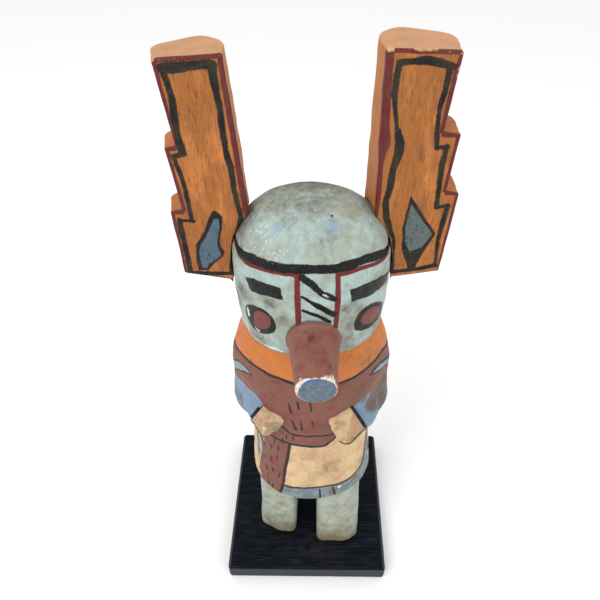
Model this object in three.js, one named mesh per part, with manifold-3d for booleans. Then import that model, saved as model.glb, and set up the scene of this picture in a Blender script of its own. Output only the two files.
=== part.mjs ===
// Carved and painted wooden kachina doll on its display block.
//
// Millimetres, +Z up. The origin is the middle of the block's underside. The doll faces -Y, so +X is on
// a viewer's right. Head, collar, arms, kilt and legs are carved from one piece of root wood. The two
// stepped horns, the snout and the block are pieces of their own.

import * as THREE from 'three';
import { mergeVertices } from 'three/addons/utils/BufferGeometryUtils.js';
import Module from 'manifold-3d';

const wasm = await Module();
wasm.setup();

// Fits
const GLUE_GAP = 0.3; // left between two pieces that are glued or rest on each other
const MERGE_DEPTH = 6; // how far one carved mass runs into the next

// Display block
const BLOCK_WIDTH = 76;
const BLOCK_DEPTH = 76;
const BLOCK_THICKNESS = 10;
const BLOCK_CORNER = 2.2;

// The doll's axis on its block, a little right of the middle
const AXIS_X = 2.1;
const AXIS_Y = -2;

// Legs
const LEG_LENGTH = 40;
const LEFT_LEG_WIDTH = 17.8;
const RIGHT_LEG_WIDTH = 20.4;
const LEFT_LEG_FORWARD = 18.4; // from the doll's axis to the leg's front
const RIGHT_LEG_FORWARD = 22;
const LEG_BACKWARD = 14; // from the doll's axis to the leg's back
const LEG_GAP = 9.4;
const LEG_GAP_OFFSET = -2.1; // the gap's middle, from the doll's axis
const LEG_CORNER = 6;
const LEG_INSET = 1; // the legs start this far inside the hem's oval
const FOOT_FLARE = 5.6; // the feet spread this far beyond the hem's oval

// Kilt, chest and collar: half widths of the body's oval, and the heights between them
const HEM_HALF_WIDTH = 27.2;
const HEM_EDGE = 1.6; // worn round
const HIP_HALF_WIDTH = 26.7;
const HIP_RISE = 12.6; // above the hem
const KILT_LENGTH = 42;
const WAIST_HALF_WIDTH = 24.6;
const CHEST_HALF_WIDTH = 27.6;
const CHEST_RISE = 21.6; // above the waist
const CHEST_LENGTH = 36;
const SHOULDER_HALF_WIDTH = 29.2;
const COLLAR_HALF_WIDTH = 27.8;
const COLLAR_RISE = 8.5; // its middle, above the shoulders
const COLLAR_HEIGHT = 15.5;
const COLLAR_TOP_HALF_WIDTH = 25;
const BODY_DEPTH_RATIO = 0.82;
const WAIST_DEPTH_RATIO = 0.9; // the front is straighter than the sides

// Head
const HEAD_OFFSET = 0.3; // right of the doll's axis
const CHIN_HALF_WIDTH = 25.4;
const CHIN_EDGE = 2; // worn round
const CHEEK_HALF_WIDTH = 26.3;
const CHEEK_RISE = 10; // above the chin
const HEAD_HALF_WIDTH = 26.6;
const FACE_HEIGHT = 25; // chin to where the dome begins
const DOME_HEIGHT = 26.4;
const DOME_FULLNESS = 2.5; // 2 is a plain oval, and more is squarer
const HEAD_DEPTH_RATIO = 0.83;

// Arms: a reach is sideways and a forward is toward the viewer, both from the doll's axis, and a rise is
// up from the waist. The hand on a viewer's left is the smaller one.
const SHOULDER_REACH = 19.4;
const SHOULDER_RADIUS = 9.8;
const ELBOW_REACH = 20.8;
const ELBOW_RADIUS = 11;
const ELBOW_RISE = 8;
const WRIST_FORWARD = 15;
const HAND_FORWARD = 23.8;
const HAND_FACETS = 6;
const LEFT_ARM = { side: -1, rise: 15.2, wrist: 19.4, wristRadius: 6.4, hand: 12.2, handRadius: 6 };
const RIGHT_ARM = { side: 1, rise: 11.8, wrist: 18.4, wristRadius: 7.6, hand: 10.4, handRadius: 7.2 };

// Snout
const SNOUT_ROOT_DIAMETER = 18.2;
const SNOUT_TIP_DIAMETER = 13.2;
const SNOUT_REACH = 19; // beyond the face
const SNOUT_SEAT = 4; // let into the face
const SNOUT_RISE = 9; // middle of its root above the chin
const SNOUT_OFFSET = 1; // right of the head's middle
const SNOUT_DIP = 4; // degrees below level
const SNOUT_TURN = 3.2; // degrees to the right

// Horns: reaches are measured sideways from the doll's axis, and heights up from where the dome begins.
// Each horn is one tall board with steps on its outer side, which start inside the board. A pair runs
// from the top of its board or step to the horn's foot. slope is how fast a top falls to its outer edge,
// outerFlare how far the outer side spreads to the back, and backShift how far the whole back lies to a
// viewer's right.
const HORN_FORWARD = 3; // front face, forward of the doll's axis
const HORN_RIDGE = 7; // where the board is thickest, from its inner side
const HORN_RIDGE_CORNER = 4;
const HORN_BACK_CORNER = 5;
const HORN_FRONT_CORNER = 0.6;
const HORN_FOOT_SLOPE = 10; // degrees, down toward the head
const LEFT_HORN = {
  side: -1,
  innerDepth: 18.8,
  outerDepth: 12,
  outerFlare: 2,
  backShift: [-1.2, -1.2],
  foot: -2.6,
  board: { top: 66.8, slope: 0.07, inner: [21.8, 17.3], outer: [40.1, 33.4] },
  upperStep: { top: 42.4, slope: 0.1, inner: [34, 30.1], outer: [41, 37.1] },
  lowerStep: { top: 21.3, slope: 0.03, inner: [34, 33.4], outer: [42.9, 42.3] },
};
const RIGHT_HORN = {
  side: 1,
  innerDepth: 20.5,
  outerDepth: 15,
  outerFlare: 1.4,
  backShift: [-2.6, -6],
  foot: -1.2,
  board: { top: 68.8, slope: 0.03, inner: [19.3, 20.4], outer: [38.7, 32.5] },
  upperStep: { top: 46.8, slope: 0.05, inner: [34.7, 31.4], outer: [41.7, 38.4] },
  lowerStep: { top: 28.4, slope: 0.02, inner: [34.7, 33], outer: [44.5, 42.8] },
};

// How finely round forms are cut
const BODY_SIDES = 44;
const BODY_STEPS = 20; // from hem to chin
const FACE_STEPS = 6;
const DOME_STEPS = 10;
const LIMB_SIDES = 24;
const BALL_STEPS = 4; // from a limb's rim to its end
const SNOUT_SIDES = 32;
const CORNER_STEPS = 6; // in each rounded corner of an upright block
const SAME_POINT = 1e-4; // corners this close are one corner

// Heights that follow from the sizes above
const SOLE_Z = BLOCK_THICKNESS + GLUE_GAP;
const HEM_Z = SOLE_Z + LEG_LENGTH;
const WAIST_Z = HEM_Z + KILT_LENGTH;
const SHOULDER_Z = WAIST_Z + CHEST_LENGTH;
const CHIN_Z = SHOULDER_Z + COLLAR_HEIGHT;
const BROW_Z = CHIN_Z + FACE_HEIGHT;
const FACE_Y = AXIS_Y - HEAD_HALF_WIDTH * HEAD_DEPTH_RATIO;
const HEAD_X = AXIS_X + HEAD_OFFSET;

const point = (x, y) => new THREE.Vector2(x, y);

/** A closed solid for joining and cutting, from a geometry with its shared corners merged. */
function solid(geometry) {
  const bare = geometry.clone();
  bare.deleteAttribute('normal');
  bare.deleteAttribute('uv');
  const merged = mergeVertices(bare, SAME_POINT);
  return new wasm.Manifold(new wasm.Mesh({
    numProp: 3,
    vertProperties: new Float32Array(merged.attributes.position.array),
    triVerts: new Uint32Array(merged.index.array),
  }));
}

/** The geometry of a joined or cut solid. */
function geometryOf(manifold) {
  const mesh = manifold.getMesh();
  const geometry = new THREE.BufferGeometry();
  geometry.setAttribute('position', new THREE.BufferAttribute(new Float32Array(mesh.vertProperties), 3));
  geometry.setIndex(new THREE.BufferAttribute(new Uint32Array(mesh.triVerts), 1));
  geometry.computeVertexNormals();
  return geometry;
}

/** A profile of half widths turned about an upright line at x, pressed to ovals depthRatioAt(z) deep. */
function turnedOval(profile, depthRatioAt, x) {
  const geometry = new THREE.LatheGeometry(profile, BODY_SIDES);
  geometry.rotateX(Math.PI / 2);
  const corner = geometry.attributes.position;
  for (let index = 0; index < corner.count; index += 1) {
    corner.setY(index, corner.getY(index) * depthRatioAt(corner.getZ(index)));
  }
  geometry.translate(x, AXIS_Y, 0);
  return solid(geometry);
}

/** A smooth line through a few points, as the profile points of a turned form. */
function smooth(points, steps) {
  return new THREE.SplineCurve(points).getPoints(steps);
}

/** The body's depth against its width: deepest at the waist, and even from the hem and shoulders on. */
function bodyDepthRatio(z) {
  const reach = z < WAIST_Z ? KILT_LENGTH : CHEST_LENGTH;
  const near = Math.max(0, 1 - Math.abs(z - WAIST_Z) / reach);
  return THREE.MathUtils.lerp(BODY_DEPTH_RATIO, WAIST_DEPTH_RATIO, near);
}

/** Hem, kilt, waist, chest and sloping collar as one turned oval. */
function body() {
  const side = smooth([
    point(HEM_HALF_WIDTH, HEM_Z + HEM_EDGE),
    point(HIP_HALF_WIDTH, HEM_Z + HIP_RISE),
    point(WAIST_HALF_WIDTH, WAIST_Z),
    point(CHEST_HALF_WIDTH, WAIST_Z + CHEST_RISE),
    point(SHOULDER_HALF_WIDTH, SHOULDER_Z),
    point(COLLAR_HALF_WIDTH, SHOULDER_Z + COLLAR_RISE),
    point(COLLAR_TOP_HALF_WIDTH, CHIN_Z),
  ], BODY_STEPS);
  return turnedOval([
    point(0, HEM_Z),
    point(HEM_HALF_WIDTH - HEM_EDGE, HEM_Z),
    ...side,
    point(COLLAR_TOP_HALF_WIDTH - MERGE_DEPTH, CHIN_Z + MERGE_DEPTH / 2),
    point(0, CHIN_Z + MERGE_DEPTH / 2),
  ], bodyDepthRatio, AXIS_X);
}

/** The head: a nearly upright oval drum under a full dome. grow thickens it all round, for a fit. */
function head(grow = 0) {
  const drum = smooth([
    point(CHIN_HALF_WIDTH + grow, CHIN_Z + CHIN_EDGE),
    point(CHEEK_HALF_WIDTH + grow, CHIN_Z + CHEEK_RISE),
    point(HEAD_HALF_WIDTH + grow, BROW_Z),
  ], FACE_STEPS);
  const dome = Array.from({ length: DOME_STEPS - 1 }, (_, step) => {
    const turn = ((step + 1) / DOME_STEPS) * (Math.PI / 2);
    const across = Math.cos(turn) ** (2 / DOME_FULLNESS);
    const up = Math.sin(turn) ** (2 / DOME_FULLNESS);
    return point((HEAD_HALF_WIDTH + grow) * across, BROW_Z + (DOME_HEIGHT + grow) * up);
  });
  return turnedOval([
    point(0, CHIN_Z - grow),
    point(CHIN_HALF_WIDTH - CHIN_EDGE + grow, CHIN_Z - grow),
    ...drum,
    ...dome,
    point(0, BROW_Z + DOME_HEIGHT + grow),
  ], () => HEAD_DEPTH_RATIO, HEAD_X);
}

/** Turns a geometry that stands on its own Y axis so that it runs from one point toward another. */
function aim(geometry, from, to) {
  const direction = to.clone().sub(from).normalize();
  geometry.applyQuaternion(new THREE.Quaternion().setFromUnitVectors(new THREE.Vector3(0, 1, 0), direction));
  geometry.translate(from.x, from.y, from.z);
  return geometry;
}

/** A round limb with ball ends that narrows from one radius to another. */
function limb(from, to, fromRadius, toRadius) {
  const length = from.distanceTo(to);
  const ball = (radius, middle, sign) => Array.from({ length: BALL_STEPS }, (_, step) => {
    const turn = (step / BALL_STEPS) * (Math.PI / 2);
    return point(radius * Math.cos(turn), middle + sign * radius * Math.sin(turn));
  });
  const profile = [
    point(0, -fromRadius),
    ...ball(fromRadius, 0, -1).reverse(),
    ...ball(toRadius, length, 1),
    point(0, length + toRadius),
  ];
  return solid(aim(new THREE.LatheGeometry(profile, LIMB_SIDES), from, to));
}

/** Upper arm, sleeve and faceted hand of one side, which lie along the body and meet on the belly. */
function arm({ side, rise, wrist, wristRadius, hand, handRadius }) {
  const place = (reach, forward, z) => new THREE.Vector3(AXIS_X + side * reach, AXIS_Y - forward, z);
  const shoulder = place(SHOULDER_REACH, 0, SHOULDER_Z - SHOULDER_RADIUS / 2);
  const elbow = place(ELBOW_REACH, 0, WAIST_Z + ELBOW_RISE);
  const cuff = place(wrist, WRIST_FORWARD, WAIST_Z + rise);
  const knuckles = place(hand, HAND_FORWARD, WAIST_Z + rise);
  const length = cuff.distanceTo(knuckles);
  const fist = new THREE.CylinderGeometry(handRadius, wristRadius, length, HAND_FACETS);
  fist.translate(0, length / 2, 0);
  return limb(shoulder, elbow, SHOULDER_RADIUS, ELBOW_RADIUS)
    .add(limb(elbow, cuff, ELBOW_RADIUS, wristRadius))
    .add(solid(aim(fist, cuff, knuckles)));
}

/** A closed outline through corners that are each rounded by a radius. */
function roundedOutline(corners) {
  const outline = new THREE.Shape();
  corners.forEach(({ x, y, r }, index) => {
    const before = corners[(index + corners.length - 1) % corners.length];
    const after = corners[(index + 1) % corners.length];
    const here = point(x, y);
    const start = here.clone().add(point(before.x - x, before.y - y).setLength(r));
    const end = here.clone().add(point(after.x - x, after.y - y).setLength(r));
    if (index === 0) outline.moveTo(start.x, start.y);
    else outline.lineTo(start.x, start.y);
    outline.quadraticCurveTo(x, y, end.x, end.y);
  });
  outline.closePath();
  return outline;
}

/** An upright prism of a plan outline, from z upward. */
function prism(outline, z, height) {
  const geometry = new THREE.ExtrudeGeometry(outline, {
    depth: height,
    bevelEnabled: false,
    curveSegments: CORNER_STEPS,
  });
  geometry.translate(0, 0, z);
  return geometry;
}

/** A plain leg, a block with rounded upright edges that runs up into the kilt. */
function leg(inner, outer, forward) {
  const front = AXIS_Y - forward;
  const back = AXIS_Y + LEG_BACKWARD;
  const plan = [[inner, front], [outer, front], [outer, back], [inner, back]];
  const corners = plan.map(([x, y]) => ({ x, y, r: LEG_CORNER }));
  if (outer < inner) corners.reverse();
  return solid(prism(roundedOutline(corners), SOLE_Z, LEG_LENGTH + MERGE_DEPTH));
}

/** Both legs, trimmed to the round of the root they are carved from, which spreads to the feet. */
function legs() {
  const gapMiddle = AXIS_X + LEG_GAP_OFFSET;
  const leftInner = gapMiddle - LEG_GAP / 2;
  const rightInner = gapMiddle + LEG_GAP / 2;
  const root = turnedOval([
    point(0, SOLE_Z),
    point(HEM_HALF_WIDTH + FOOT_FLARE, SOLE_Z),
    point(HEM_HALF_WIDTH - LEG_INSET, HEM_Z),
    point(HEM_HALF_WIDTH - MERGE_DEPTH, HEM_Z + MERGE_DEPTH),
    point(0, HEM_Z + MERGE_DEPTH),
  ], bodyDepthRatio, AXIS_X);
  return leg(leftInner, leftInner - LEFT_LEG_WIDTH, LEFT_LEG_FORWARD)
    .add(leg(rightInner, rightInner + RIGHT_LEG_WIDTH, RIGHT_LEG_FORWARD))
    .intersect(root);
}

/** The snout's tapered rod. grow thickens it and seats it deeper, for the socket in the face. */
function snoutRod(grow = 0) {
  const dip = THREE.MathUtils.degToRad(SNOUT_DIP);
  const turn = THREE.MathUtils.degToRad(SNOUT_TURN);
  const direction = new THREE.Vector3(Math.sin(turn), -Math.cos(turn), -Math.sin(dip)).normalize();
  const atFace = new THREE.Vector3(HEAD_X + SNOUT_OFFSET, FACE_Y, CHIN_Z + SNOUT_RISE);
  const root = atFace.clone().addScaledVector(direction, -SNOUT_SEAT - grow);
  const length = SNOUT_SEAT + SNOUT_REACH + grow;
  const geometry = new THREE.CylinderGeometry(
    SNOUT_TIP_DIAMETER / 2 + grow,
    SNOUT_ROOT_DIAMETER / 2 + grow,
    length,
    SNOUT_SIDES,
  );
  geometry.translate(0, length / 2, 0);
  return solid(aim(geometry, root, atFace));
}

/**
 * One upright board of a horn. The corners of its plan are given from its inner side, and the outer half
 * of them follows the outer line as it leans, the inner half the inner line.
 */
function hornBoard(horn, { top, slope, inner, outer }, planFor) {
  const bottom = horn.foot - MERGE_DEPTH;
  const lineAt = (line, z) => THREE.MathUtils.mapLinear(z, top, horn.foot, ...line);
  const width = outer[0] - inner[0];
  const geometry = prism(roundedOutline(planFor(width)), bottom, top - bottom);
  const shiftAt = (z) => THREE.MathUtils.mapLinear(z, horn.board.top, horn.foot, ...horn.backShift);
  const corner = geometry.attributes.position;
  for (let index = 0; index < corner.count; index += 1) {
    const across = corner.getX(index);
    const depth = corner.getY(index);
    const atTop = corner.getZ(index) > horn.foot;
    const z = corner.getZ(index) + (atTop ? slope * (width - across) : 0);
    const reach = across < width / 2 ? lineAt(inner, z) + across : lineAt(outer, z) - (width - across);
    corner.setXYZ(
      index,
      AXIS_X + horn.side * reach + shiftAt(z) * (depth / horn.innerDepth),
      AXIS_Y - HORN_FORWARD + depth,
      BROW_Z + z,
    );
  }
  if (horn.side < 0) flip(geometry);
  return solid(geometry);
}

/** Turns a mirrored mesh's faces back outward. */
function flip(geometry) {
  const { array, itemSize } = geometry.attributes.position;
  for (let second = itemSize; second < array.length; second += 3 * itemSize) {
    const third = second + itemSize;
    const kept = array.slice(second, third);
    array.copyWithin(second, third, third + itemSize);
    array.set(kept, third);
  }
}

/** A box whose top face is the slanted plane that a horn's foot is cut to. */
function footCutter(horn) {
  const size = BLOCK_WIDTH;
  const geometry = new THREE.BoxGeometry(size, size, size);
  geometry.translate(0, 0, -size / 2);
  geometry.rotateY(THREE.MathUtils.degToRad(-horn.side * HORN_FOOT_SLOPE));
  geometry.translate(AXIS_X + horn.side * horn.lowerStep.outer[1], AXIS_Y, BROW_Z + horn.foot);
  return solid(geometry);
}

/** A stepped horn, half round at the back, and hollowed where it seats against the side of the head. */
function horn(sizes) {
  const { innerDepth, outerDepth, outerFlare, board, upperStep, lowerStep } = sizes;
  const boardPlan = (width) => [
    { x: 0, y: 0, r: HORN_FRONT_CORNER },
    { x: width, y: 0, r: HORN_FRONT_CORNER },
    { x: width + outerFlare, y: outerDepth, r: HORN_BACK_CORNER },
    { x: HORN_RIDGE, y: innerDepth, r: HORN_RIDGE_CORNER },
    { x: 0, y: innerDepth - HORN_RIDGE, r: HORN_RIDGE_CORNER },
  ];
  const stepPlan = (width) => [
    { x: 0, y: 0, r: HORN_FRONT_CORNER },
    { x: width, y: 0, r: HORN_FRONT_CORNER },
    { x: width + outerFlare, y: outerDepth, r: HORN_BACK_CORNER },
    { x: 0, y: outerDepth, r: HORN_FRONT_CORNER },
  ];
  return hornBoard(sizes, board, boardPlan)
    .add(hornBoard(sizes, upperStep, stepPlan))
    .add(hornBoard(sizes, lowerStep, stepPlan))
    .subtract(footCutter(sizes))
    .subtract(head(GLUE_GAP));
}

/** The block the doll stands on. */
function block() {
  const x = BLOCK_WIDTH / 2;
  const y = BLOCK_DEPTH / 2;
  const corners = [[-x, -y], [x, -y], [x, y], [-x, y]].map(([px, py]) => ({ x: px, y: py, r: BLOCK_CORNER }));
  return solid(prism(roundedOutline(corners), 0, BLOCK_THICKNESS));
}

/** The carved doll, with the socket for its snout. */
function figure() {
  return body()
    .add(head())
    .add(arm(LEFT_ARM))
    .add(arm(RIGHT_ARM))
    .add(legs())
    .subtract(snoutRod(GLUE_GAP));
}

const PAINTED_WOOD = { roughness: 0.7, metalness: 0 };

/** A named sub-part with its own material. */
function piece(name, shape, color) {
  const mesh = new THREE.Mesh(geometryOf(shape), new THREE.MeshStandardMaterial({ color, ...PAINTED_WOOD }));
  mesh.name = name;
  return mesh;
}

const doll = new THREE.Group();
doll.add(
  piece('figure', figure(), 0xa9b3a4),
  piece('left_horn', horn(LEFT_HORN), 0xcf7a3a),
  piece('right_horn', horn(RIGHT_HORN), 0xcf7a3a),
  piece('snout', snoutRod(), 0x8a4a3e),
  piece('plinth', block(), 0x15181c),
);

export default doll;
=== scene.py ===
"""A carved and painted wooden kachina doll on its black display block, as an old, handled piece.

The doll faces -Y and stands on Z = 0. Sizes are millimetres, and each mesh is written in metres. Every
skin is a surface of two parameters on a grid: rings of points that rise from a lower pole to an upper one.
"""

import math

import bpy
import numpy as np
from mathutils import Matrix, Vector


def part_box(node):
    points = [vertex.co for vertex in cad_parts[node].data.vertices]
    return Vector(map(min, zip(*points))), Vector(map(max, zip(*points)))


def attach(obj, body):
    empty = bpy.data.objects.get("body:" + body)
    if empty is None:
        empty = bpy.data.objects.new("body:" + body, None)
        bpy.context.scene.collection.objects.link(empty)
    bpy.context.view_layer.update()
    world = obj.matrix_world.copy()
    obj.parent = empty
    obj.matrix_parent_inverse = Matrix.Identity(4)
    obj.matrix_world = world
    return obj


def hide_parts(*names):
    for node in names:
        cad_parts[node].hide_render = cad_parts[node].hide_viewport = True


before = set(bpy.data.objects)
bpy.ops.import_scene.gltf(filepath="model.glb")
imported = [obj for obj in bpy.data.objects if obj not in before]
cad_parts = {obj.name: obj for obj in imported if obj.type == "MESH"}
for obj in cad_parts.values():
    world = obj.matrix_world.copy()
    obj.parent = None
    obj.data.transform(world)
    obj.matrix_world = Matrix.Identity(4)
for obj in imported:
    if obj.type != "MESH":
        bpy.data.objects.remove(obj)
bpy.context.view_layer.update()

MM = 0.001

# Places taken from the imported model, in mm
BLOCK_LOW, BLOCK_HIGH = (np.array(corner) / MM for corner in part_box("plinth"))
FIGURE_LOW, FIGURE_HIGH = (np.array(corner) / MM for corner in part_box("figure"))
BODY_MODE = "root"

# The doll's axis, and the heights that part its forms
AXIS_X = 2.1
AXIS_Y = -2.0
SOLE_Z = FIGURE_LOW[2]
HEM_Z = SOLE_Z + 40
WAIST_HEIGHT = 42
WAIST_Z = HEM_Z + WAIST_HEIGHT
CHEST_HEIGHT = 36
DRUM_HEIGHT = 25  # from the chin to the brow, where the head is nearly upright
CHIN_Z = WAIST_Z + CHEST_HEIGHT + 15.5
BROW_Z = CHIN_Z + DRUM_HEIGHT
CROWN_Z = FIGURE_HIGH[2]

# Kilt, chest and collar: half widths of the body's oval at heights above the hem
BODY_HEIGHTS = (0, 12.6, WAIST_HEIGHT, 63.6, WAIST_HEIGHT + CHEST_HEIGHT, 86.5, 93.5, 97)
BODY_HALF_WIDTHS = (27.2, 26.7, 24.6, 27.6, 29.2, 27.8, 25, 23)
BODY_DEPTH_RATIO = 0.82
WAIST_DEPTH_RATIO = 0.9
HEM_EDGE = 1.6
SLEEVE_BLEND = 2.2  # how softly a sleeve runs into the chest

# Arms: places are sideways and forward of the doll's axis, and up from the waist
LEFT_ARM = {"side": -1, "wrist": (19.2, 14.6, 15), "wrist_radius": 5.5}
RIGHT_ARM = {"side": 1, "wrist": (20, 13.4, 12), "wrist_radius": 6.2}
SHOULDER = (19.4, 0, 31.1)
SHOULDER_RADIUS = 9.8
ELBOW = (20.8, 0, 9.3)
ELBOW_RADIUS = 11

# Head
HEAD_X = AXIS_X + 0.3
HEAD_DEPTH_RATIO = 0.83
HEAD_HEIGHTS = (0, 10, DRUM_HEIGHT)  # above the chin
HEAD_HALF_WIDTHS = (25.4, 26.3, 26.6)
DOME_HALF_WIDTH = 26.6
DOME_FULLNESS = 2.5  # 2 is a plain oval, and more is squarer
CHIN_EDGE = 2.0

# Legs
LEG_GAP = 9.4
LEG_GAP_X = 0.0
LEG_BACKWARD = 14
LEG_CORNER = 3.6
LEG_CARVING = (14, 0.16, 8, 0.14, 0.05, 31)
ROOT_SOLE_HALF_WIDTH = 32.8  # the round root that both legs are trimmed to, at the soles
ROOT_HEM_HALF_WIDTH = 26.2
SOLE_EDGE = 0.6
ROOT_BLEND = 1.2  # how softly a leg runs into the round root, and its toe into the cut
TOE_BLEND = 2.0
SOLE_SPREAD_HEIGHT = 24
LEFT_LEG = {"side": -1, "width": 17.8, "forward": 18.4, "flare": 1.4, "lean": 0.7, "toe_cut": 0.5}
RIGHT_LEG = {"side": 1, "width": 20.4, "forward": 22.5, "flare": 0, "lean": 0, "toe_cut": 0}

# Snout
SNOUT_ROOT = (HEAD_X + 1, AXIS_Y - DOME_HALF_WIDTH * HEAD_DEPTH_RATIO, CHIN_Z + 9)  # its middle on the face
SNOUT_ROOT_RADIUS = 9.1
SNOUT_TIP_RADIUS = 6.6
SNOUT_REACH = 19
SNOUT_SEAT = 4
SNOUT_DIP = 4
SNOUT_TURN = 3.2  # degrees, as its dip is
SNOUT_FLARE = 0.5  # of the filler round its root

# Horns: heights are from the brow, and sideways reaches from the doll's axis. Each side and each way that
# the back leans is given at the board's top and at its foot. A step is the height of its ledge's top, how
# the ledge slants, and the reaches of the outer side below it.
HORN_FRONT_Y = AXIS_Y - 3
HORN_RIDGE = 7
HORN_RIDGE_CORNER = 4
HORN_EDGE = 0.5
HORN_TOP_EDGE = 0.7
HORN_FOOT_EDGE = 0.6
HORN_SEAT_GAP = 0.2  # between a horn's foot and the head
HORN_LEAST = 2  # how thick a horn stays where it seats
HORN_END_RINGS = 14
CORNER_POINTS = (6, 6, 12, 10, 8)  # round each corner of a horn's plan, from its inner front corner
SIDE_POINTS = (58, 22, 30, 12, 24)  # along the sides that follow them
LEDGE_WEAR = 0.3
LEFT_HORN = {
    "side": -1, "foot": -2.6, "top": 66.8, "slope": 0.07, "inner": (21.8, 17.3), "outer": (40.1, 33.4),
    "steps": ((42.4, 0.1, (41, 37.1)), (21.3, 0.06, (42.9, 42.3))), "inner_depth": 18.8,
    "outer_depth": 12, "outer_flare": (2.6, 1.6), "back_shift": (-1.2, -1.2), "back_corner": 3.6,
}
RIGHT_HORN = {
    "side": 1, "foot": -1.2, "top": 68.8, "slope": 0.03, "inner": (19.3, 20.4), "outer": (38.7, 32.5),
    "steps": ((46.8, 0.06, (41.7, 38.4)), (28.4, 0.06, (44.5, 42.8))), "inner_depth": 20.5,
    "outer_depth": 15, "outer_flare": (3.0, 3.6), "back_shift": (-2.6, -6), "back_corner": 5.5,
}
FOOT_SLOPE = math.tan(math.radians(10))

FAR = 9.0  # mm, a distance that no brush mark reaches
TURN = 2 * math.pi
CARVING_WAVES = 7
CARVING_WAVES_HEIGHT = 2.6  # that so many waves come to where they meet


# Shapes

def smooth_through(at, places, values):
    """A smooth curve through values at rising places: a cubic between each two, with the slopes of their
    neighbours."""
    places, values = np.asarray(places, float), np.asarray(values, float)
    slopes = np.gradient(values, places)
    index = np.clip(np.searchsorted(places, at) - 1, 0, len(places) - 2)
    span = places[index + 1] - places[index]
    t = np.clip((at - places[index]) / span, 0, 1)
    start = (2 * t**3 - 3 * t**2 + 1) * values[index] + (t**3 - 2 * t**2 + t) * span * slopes[index]
    end = (3 * t**2 - 2 * t**3) * values[index + 1] + (t**3 - t**2) * span * slopes[index + 1]
    return start + end


def rounding(height, radius):
    """How far a worn edge draws in at a height above it: a quarter circle of that radius."""
    short = np.clip(radius - height, 0, radius)
    return radius - np.sqrt(np.maximum(radius**2 - short**2, 0))


def smooth_least(first, second, blend):
    """The lesser of two distances, eased over a blend: their mean less half the rooted gap between them."""
    return (first + second - np.sqrt((first - second) ** 2 + blend**2)) / 2


def uneven(points, wavelength, depth, seed):
    """Hand carving's unevenness: plane waves of about one wavelength, in directions drawn from the seed,
    added and scaled to a depth."""
    draw = np.random.default_rng(seed)
    total = np.zeros(points.shape[:-1])
    for _ in range(CARVING_WAVES):
        direction = draw.normal(size=3)
        direction *= TURN / (wavelength * draw.uniform(0.7, 1.4) * np.linalg.norm(direction))
        total += np.sin(points @ direction + draw.uniform(0, TURN))
    return total * depth / CARVING_WAVES_HEIGHT


def knife_cuts(points, wavelength, depth, seed):
    """Shallow knife facets: the ridges left between strokes, which are where the unevenness turns over."""
    return depth * (np.abs(uneven(points, wavelength, 1.0, seed)) - 0.5)


def away_from(place, points):
    """How far points are from a place."""
    return np.linalg.norm(points - np.array(place), axis=-1)


def along_line(ends, share):
    """A value between two ends, at a share of the way from the first to the second."""
    return ends[0] + (ends[1] - ends[0]) * share


def carved(points, swell, swell_depth, cut, cut_depth, proud, seed):
    """How far a carved skin stands off its true form: its unevenness, its knife cuts, and how proud it is
    on the whole."""
    return uneven(points, swell, swell_depth, seed) + proud + knife_cuts(points, cut, cut_depth, seed + 2)


def soft_spots(points, spots):
    """Soft round spots of grime, dust and painted shade: each is strongest at its middle and falls off as a
    bell of its own radius. Where they overlap the strongest counts."""
    strongest = np.zeros(points.shape[:-1])
    for middle, radius, strength in spots:
        strongest = np.maximum(strongest, strength * np.exp(-(away_from(middle, points) / radius) ** 2))
    return strongest


def build_skin(name, rings, marks):
    """A closed skin in metres through rings of points that rise and run anticlockwise seen from above, with
    a pole at the middle of the first and last ring. marks are numbers kept at each point for its paint."""
    rows, columns = rings.shape[:2]
    poles = np.stack([rings[0].mean(0), rings[-1].mean(0)])
    points = np.concatenate([rings.reshape(-1, 3), poles]) * MM
    row, column = np.meshgrid(np.arange(rows - 1), np.arange(columns), indexing="ij")
    following = (column + 1) % columns
    quads = np.stack([
        row * columns + column, row * columns + following,
        (row + 1) * columns + following, (row + 1) * columns + column,
    ], -1).reshape(-1, 4)
    here = np.arange(columns)
    onward = (here + 1) % columns
    last = (rows - 1) * columns
    lower = np.stack([np.full(columns, rows * columns), onward, here], 1)
    upper = np.stack([last + here, last + onward, np.full(columns, rows * columns + 1)], 1)
    corners = np.concatenate([quads.ravel(), lower.ravel(), upper.ravel()])
    sides = np.concatenate([np.full(len(quads), 4), np.full(2 * columns, 3)])
    mesh = bpy.data.meshes.new(name)
    mesh.vertices.add(len(points))
    mesh.vertices.foreach_set("co", points.astype(np.float32).ravel())
    mesh.loops.add(len(corners))
    mesh.loops.foreach_set("vertex_index", corners.astype(np.int32))
    mesh.polygons.add(len(sides))
    mesh.polygons.foreach_set("loop_start", (np.cumsum(sides) - sides).astype(np.int32))
    mesh.polygons.foreach_set("use_smooth", np.ones(len(sides), bool))
    mesh.update(calc_edges=True)
    mesh.validate()
    for kept, values in marks.items():
        at_poles = [values[0].mean(), values[-1].mean()]
        layer = mesh.attributes.new(kept, "FLOAT", "POINT")
        layer.data.foreach_set("value", np.concatenate([values.ravel(), at_poles]).astype(np.float32))
    piece = bpy.data.objects.new(name, mesh)
    bpy.context.scene.collection.objects.link(piece)
    return piece


def finish_piece(piece, material, node):
    """Gives a piece its material and body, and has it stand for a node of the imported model."""
    piece.data.materials.append(material)
    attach(piece, BODY_MODE)
    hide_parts(node)


def level_point(azimuth, height, reach, middle):
    """Points at an azimuth from straight ahead, a height, and a level reach from an upright line."""
    return np.stack([
        middle[0] + reach * np.sin(azimuth),
        middle[1] - reach * np.cos(azimuth),
        height + 0 * reach,
    ], -1)


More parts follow.
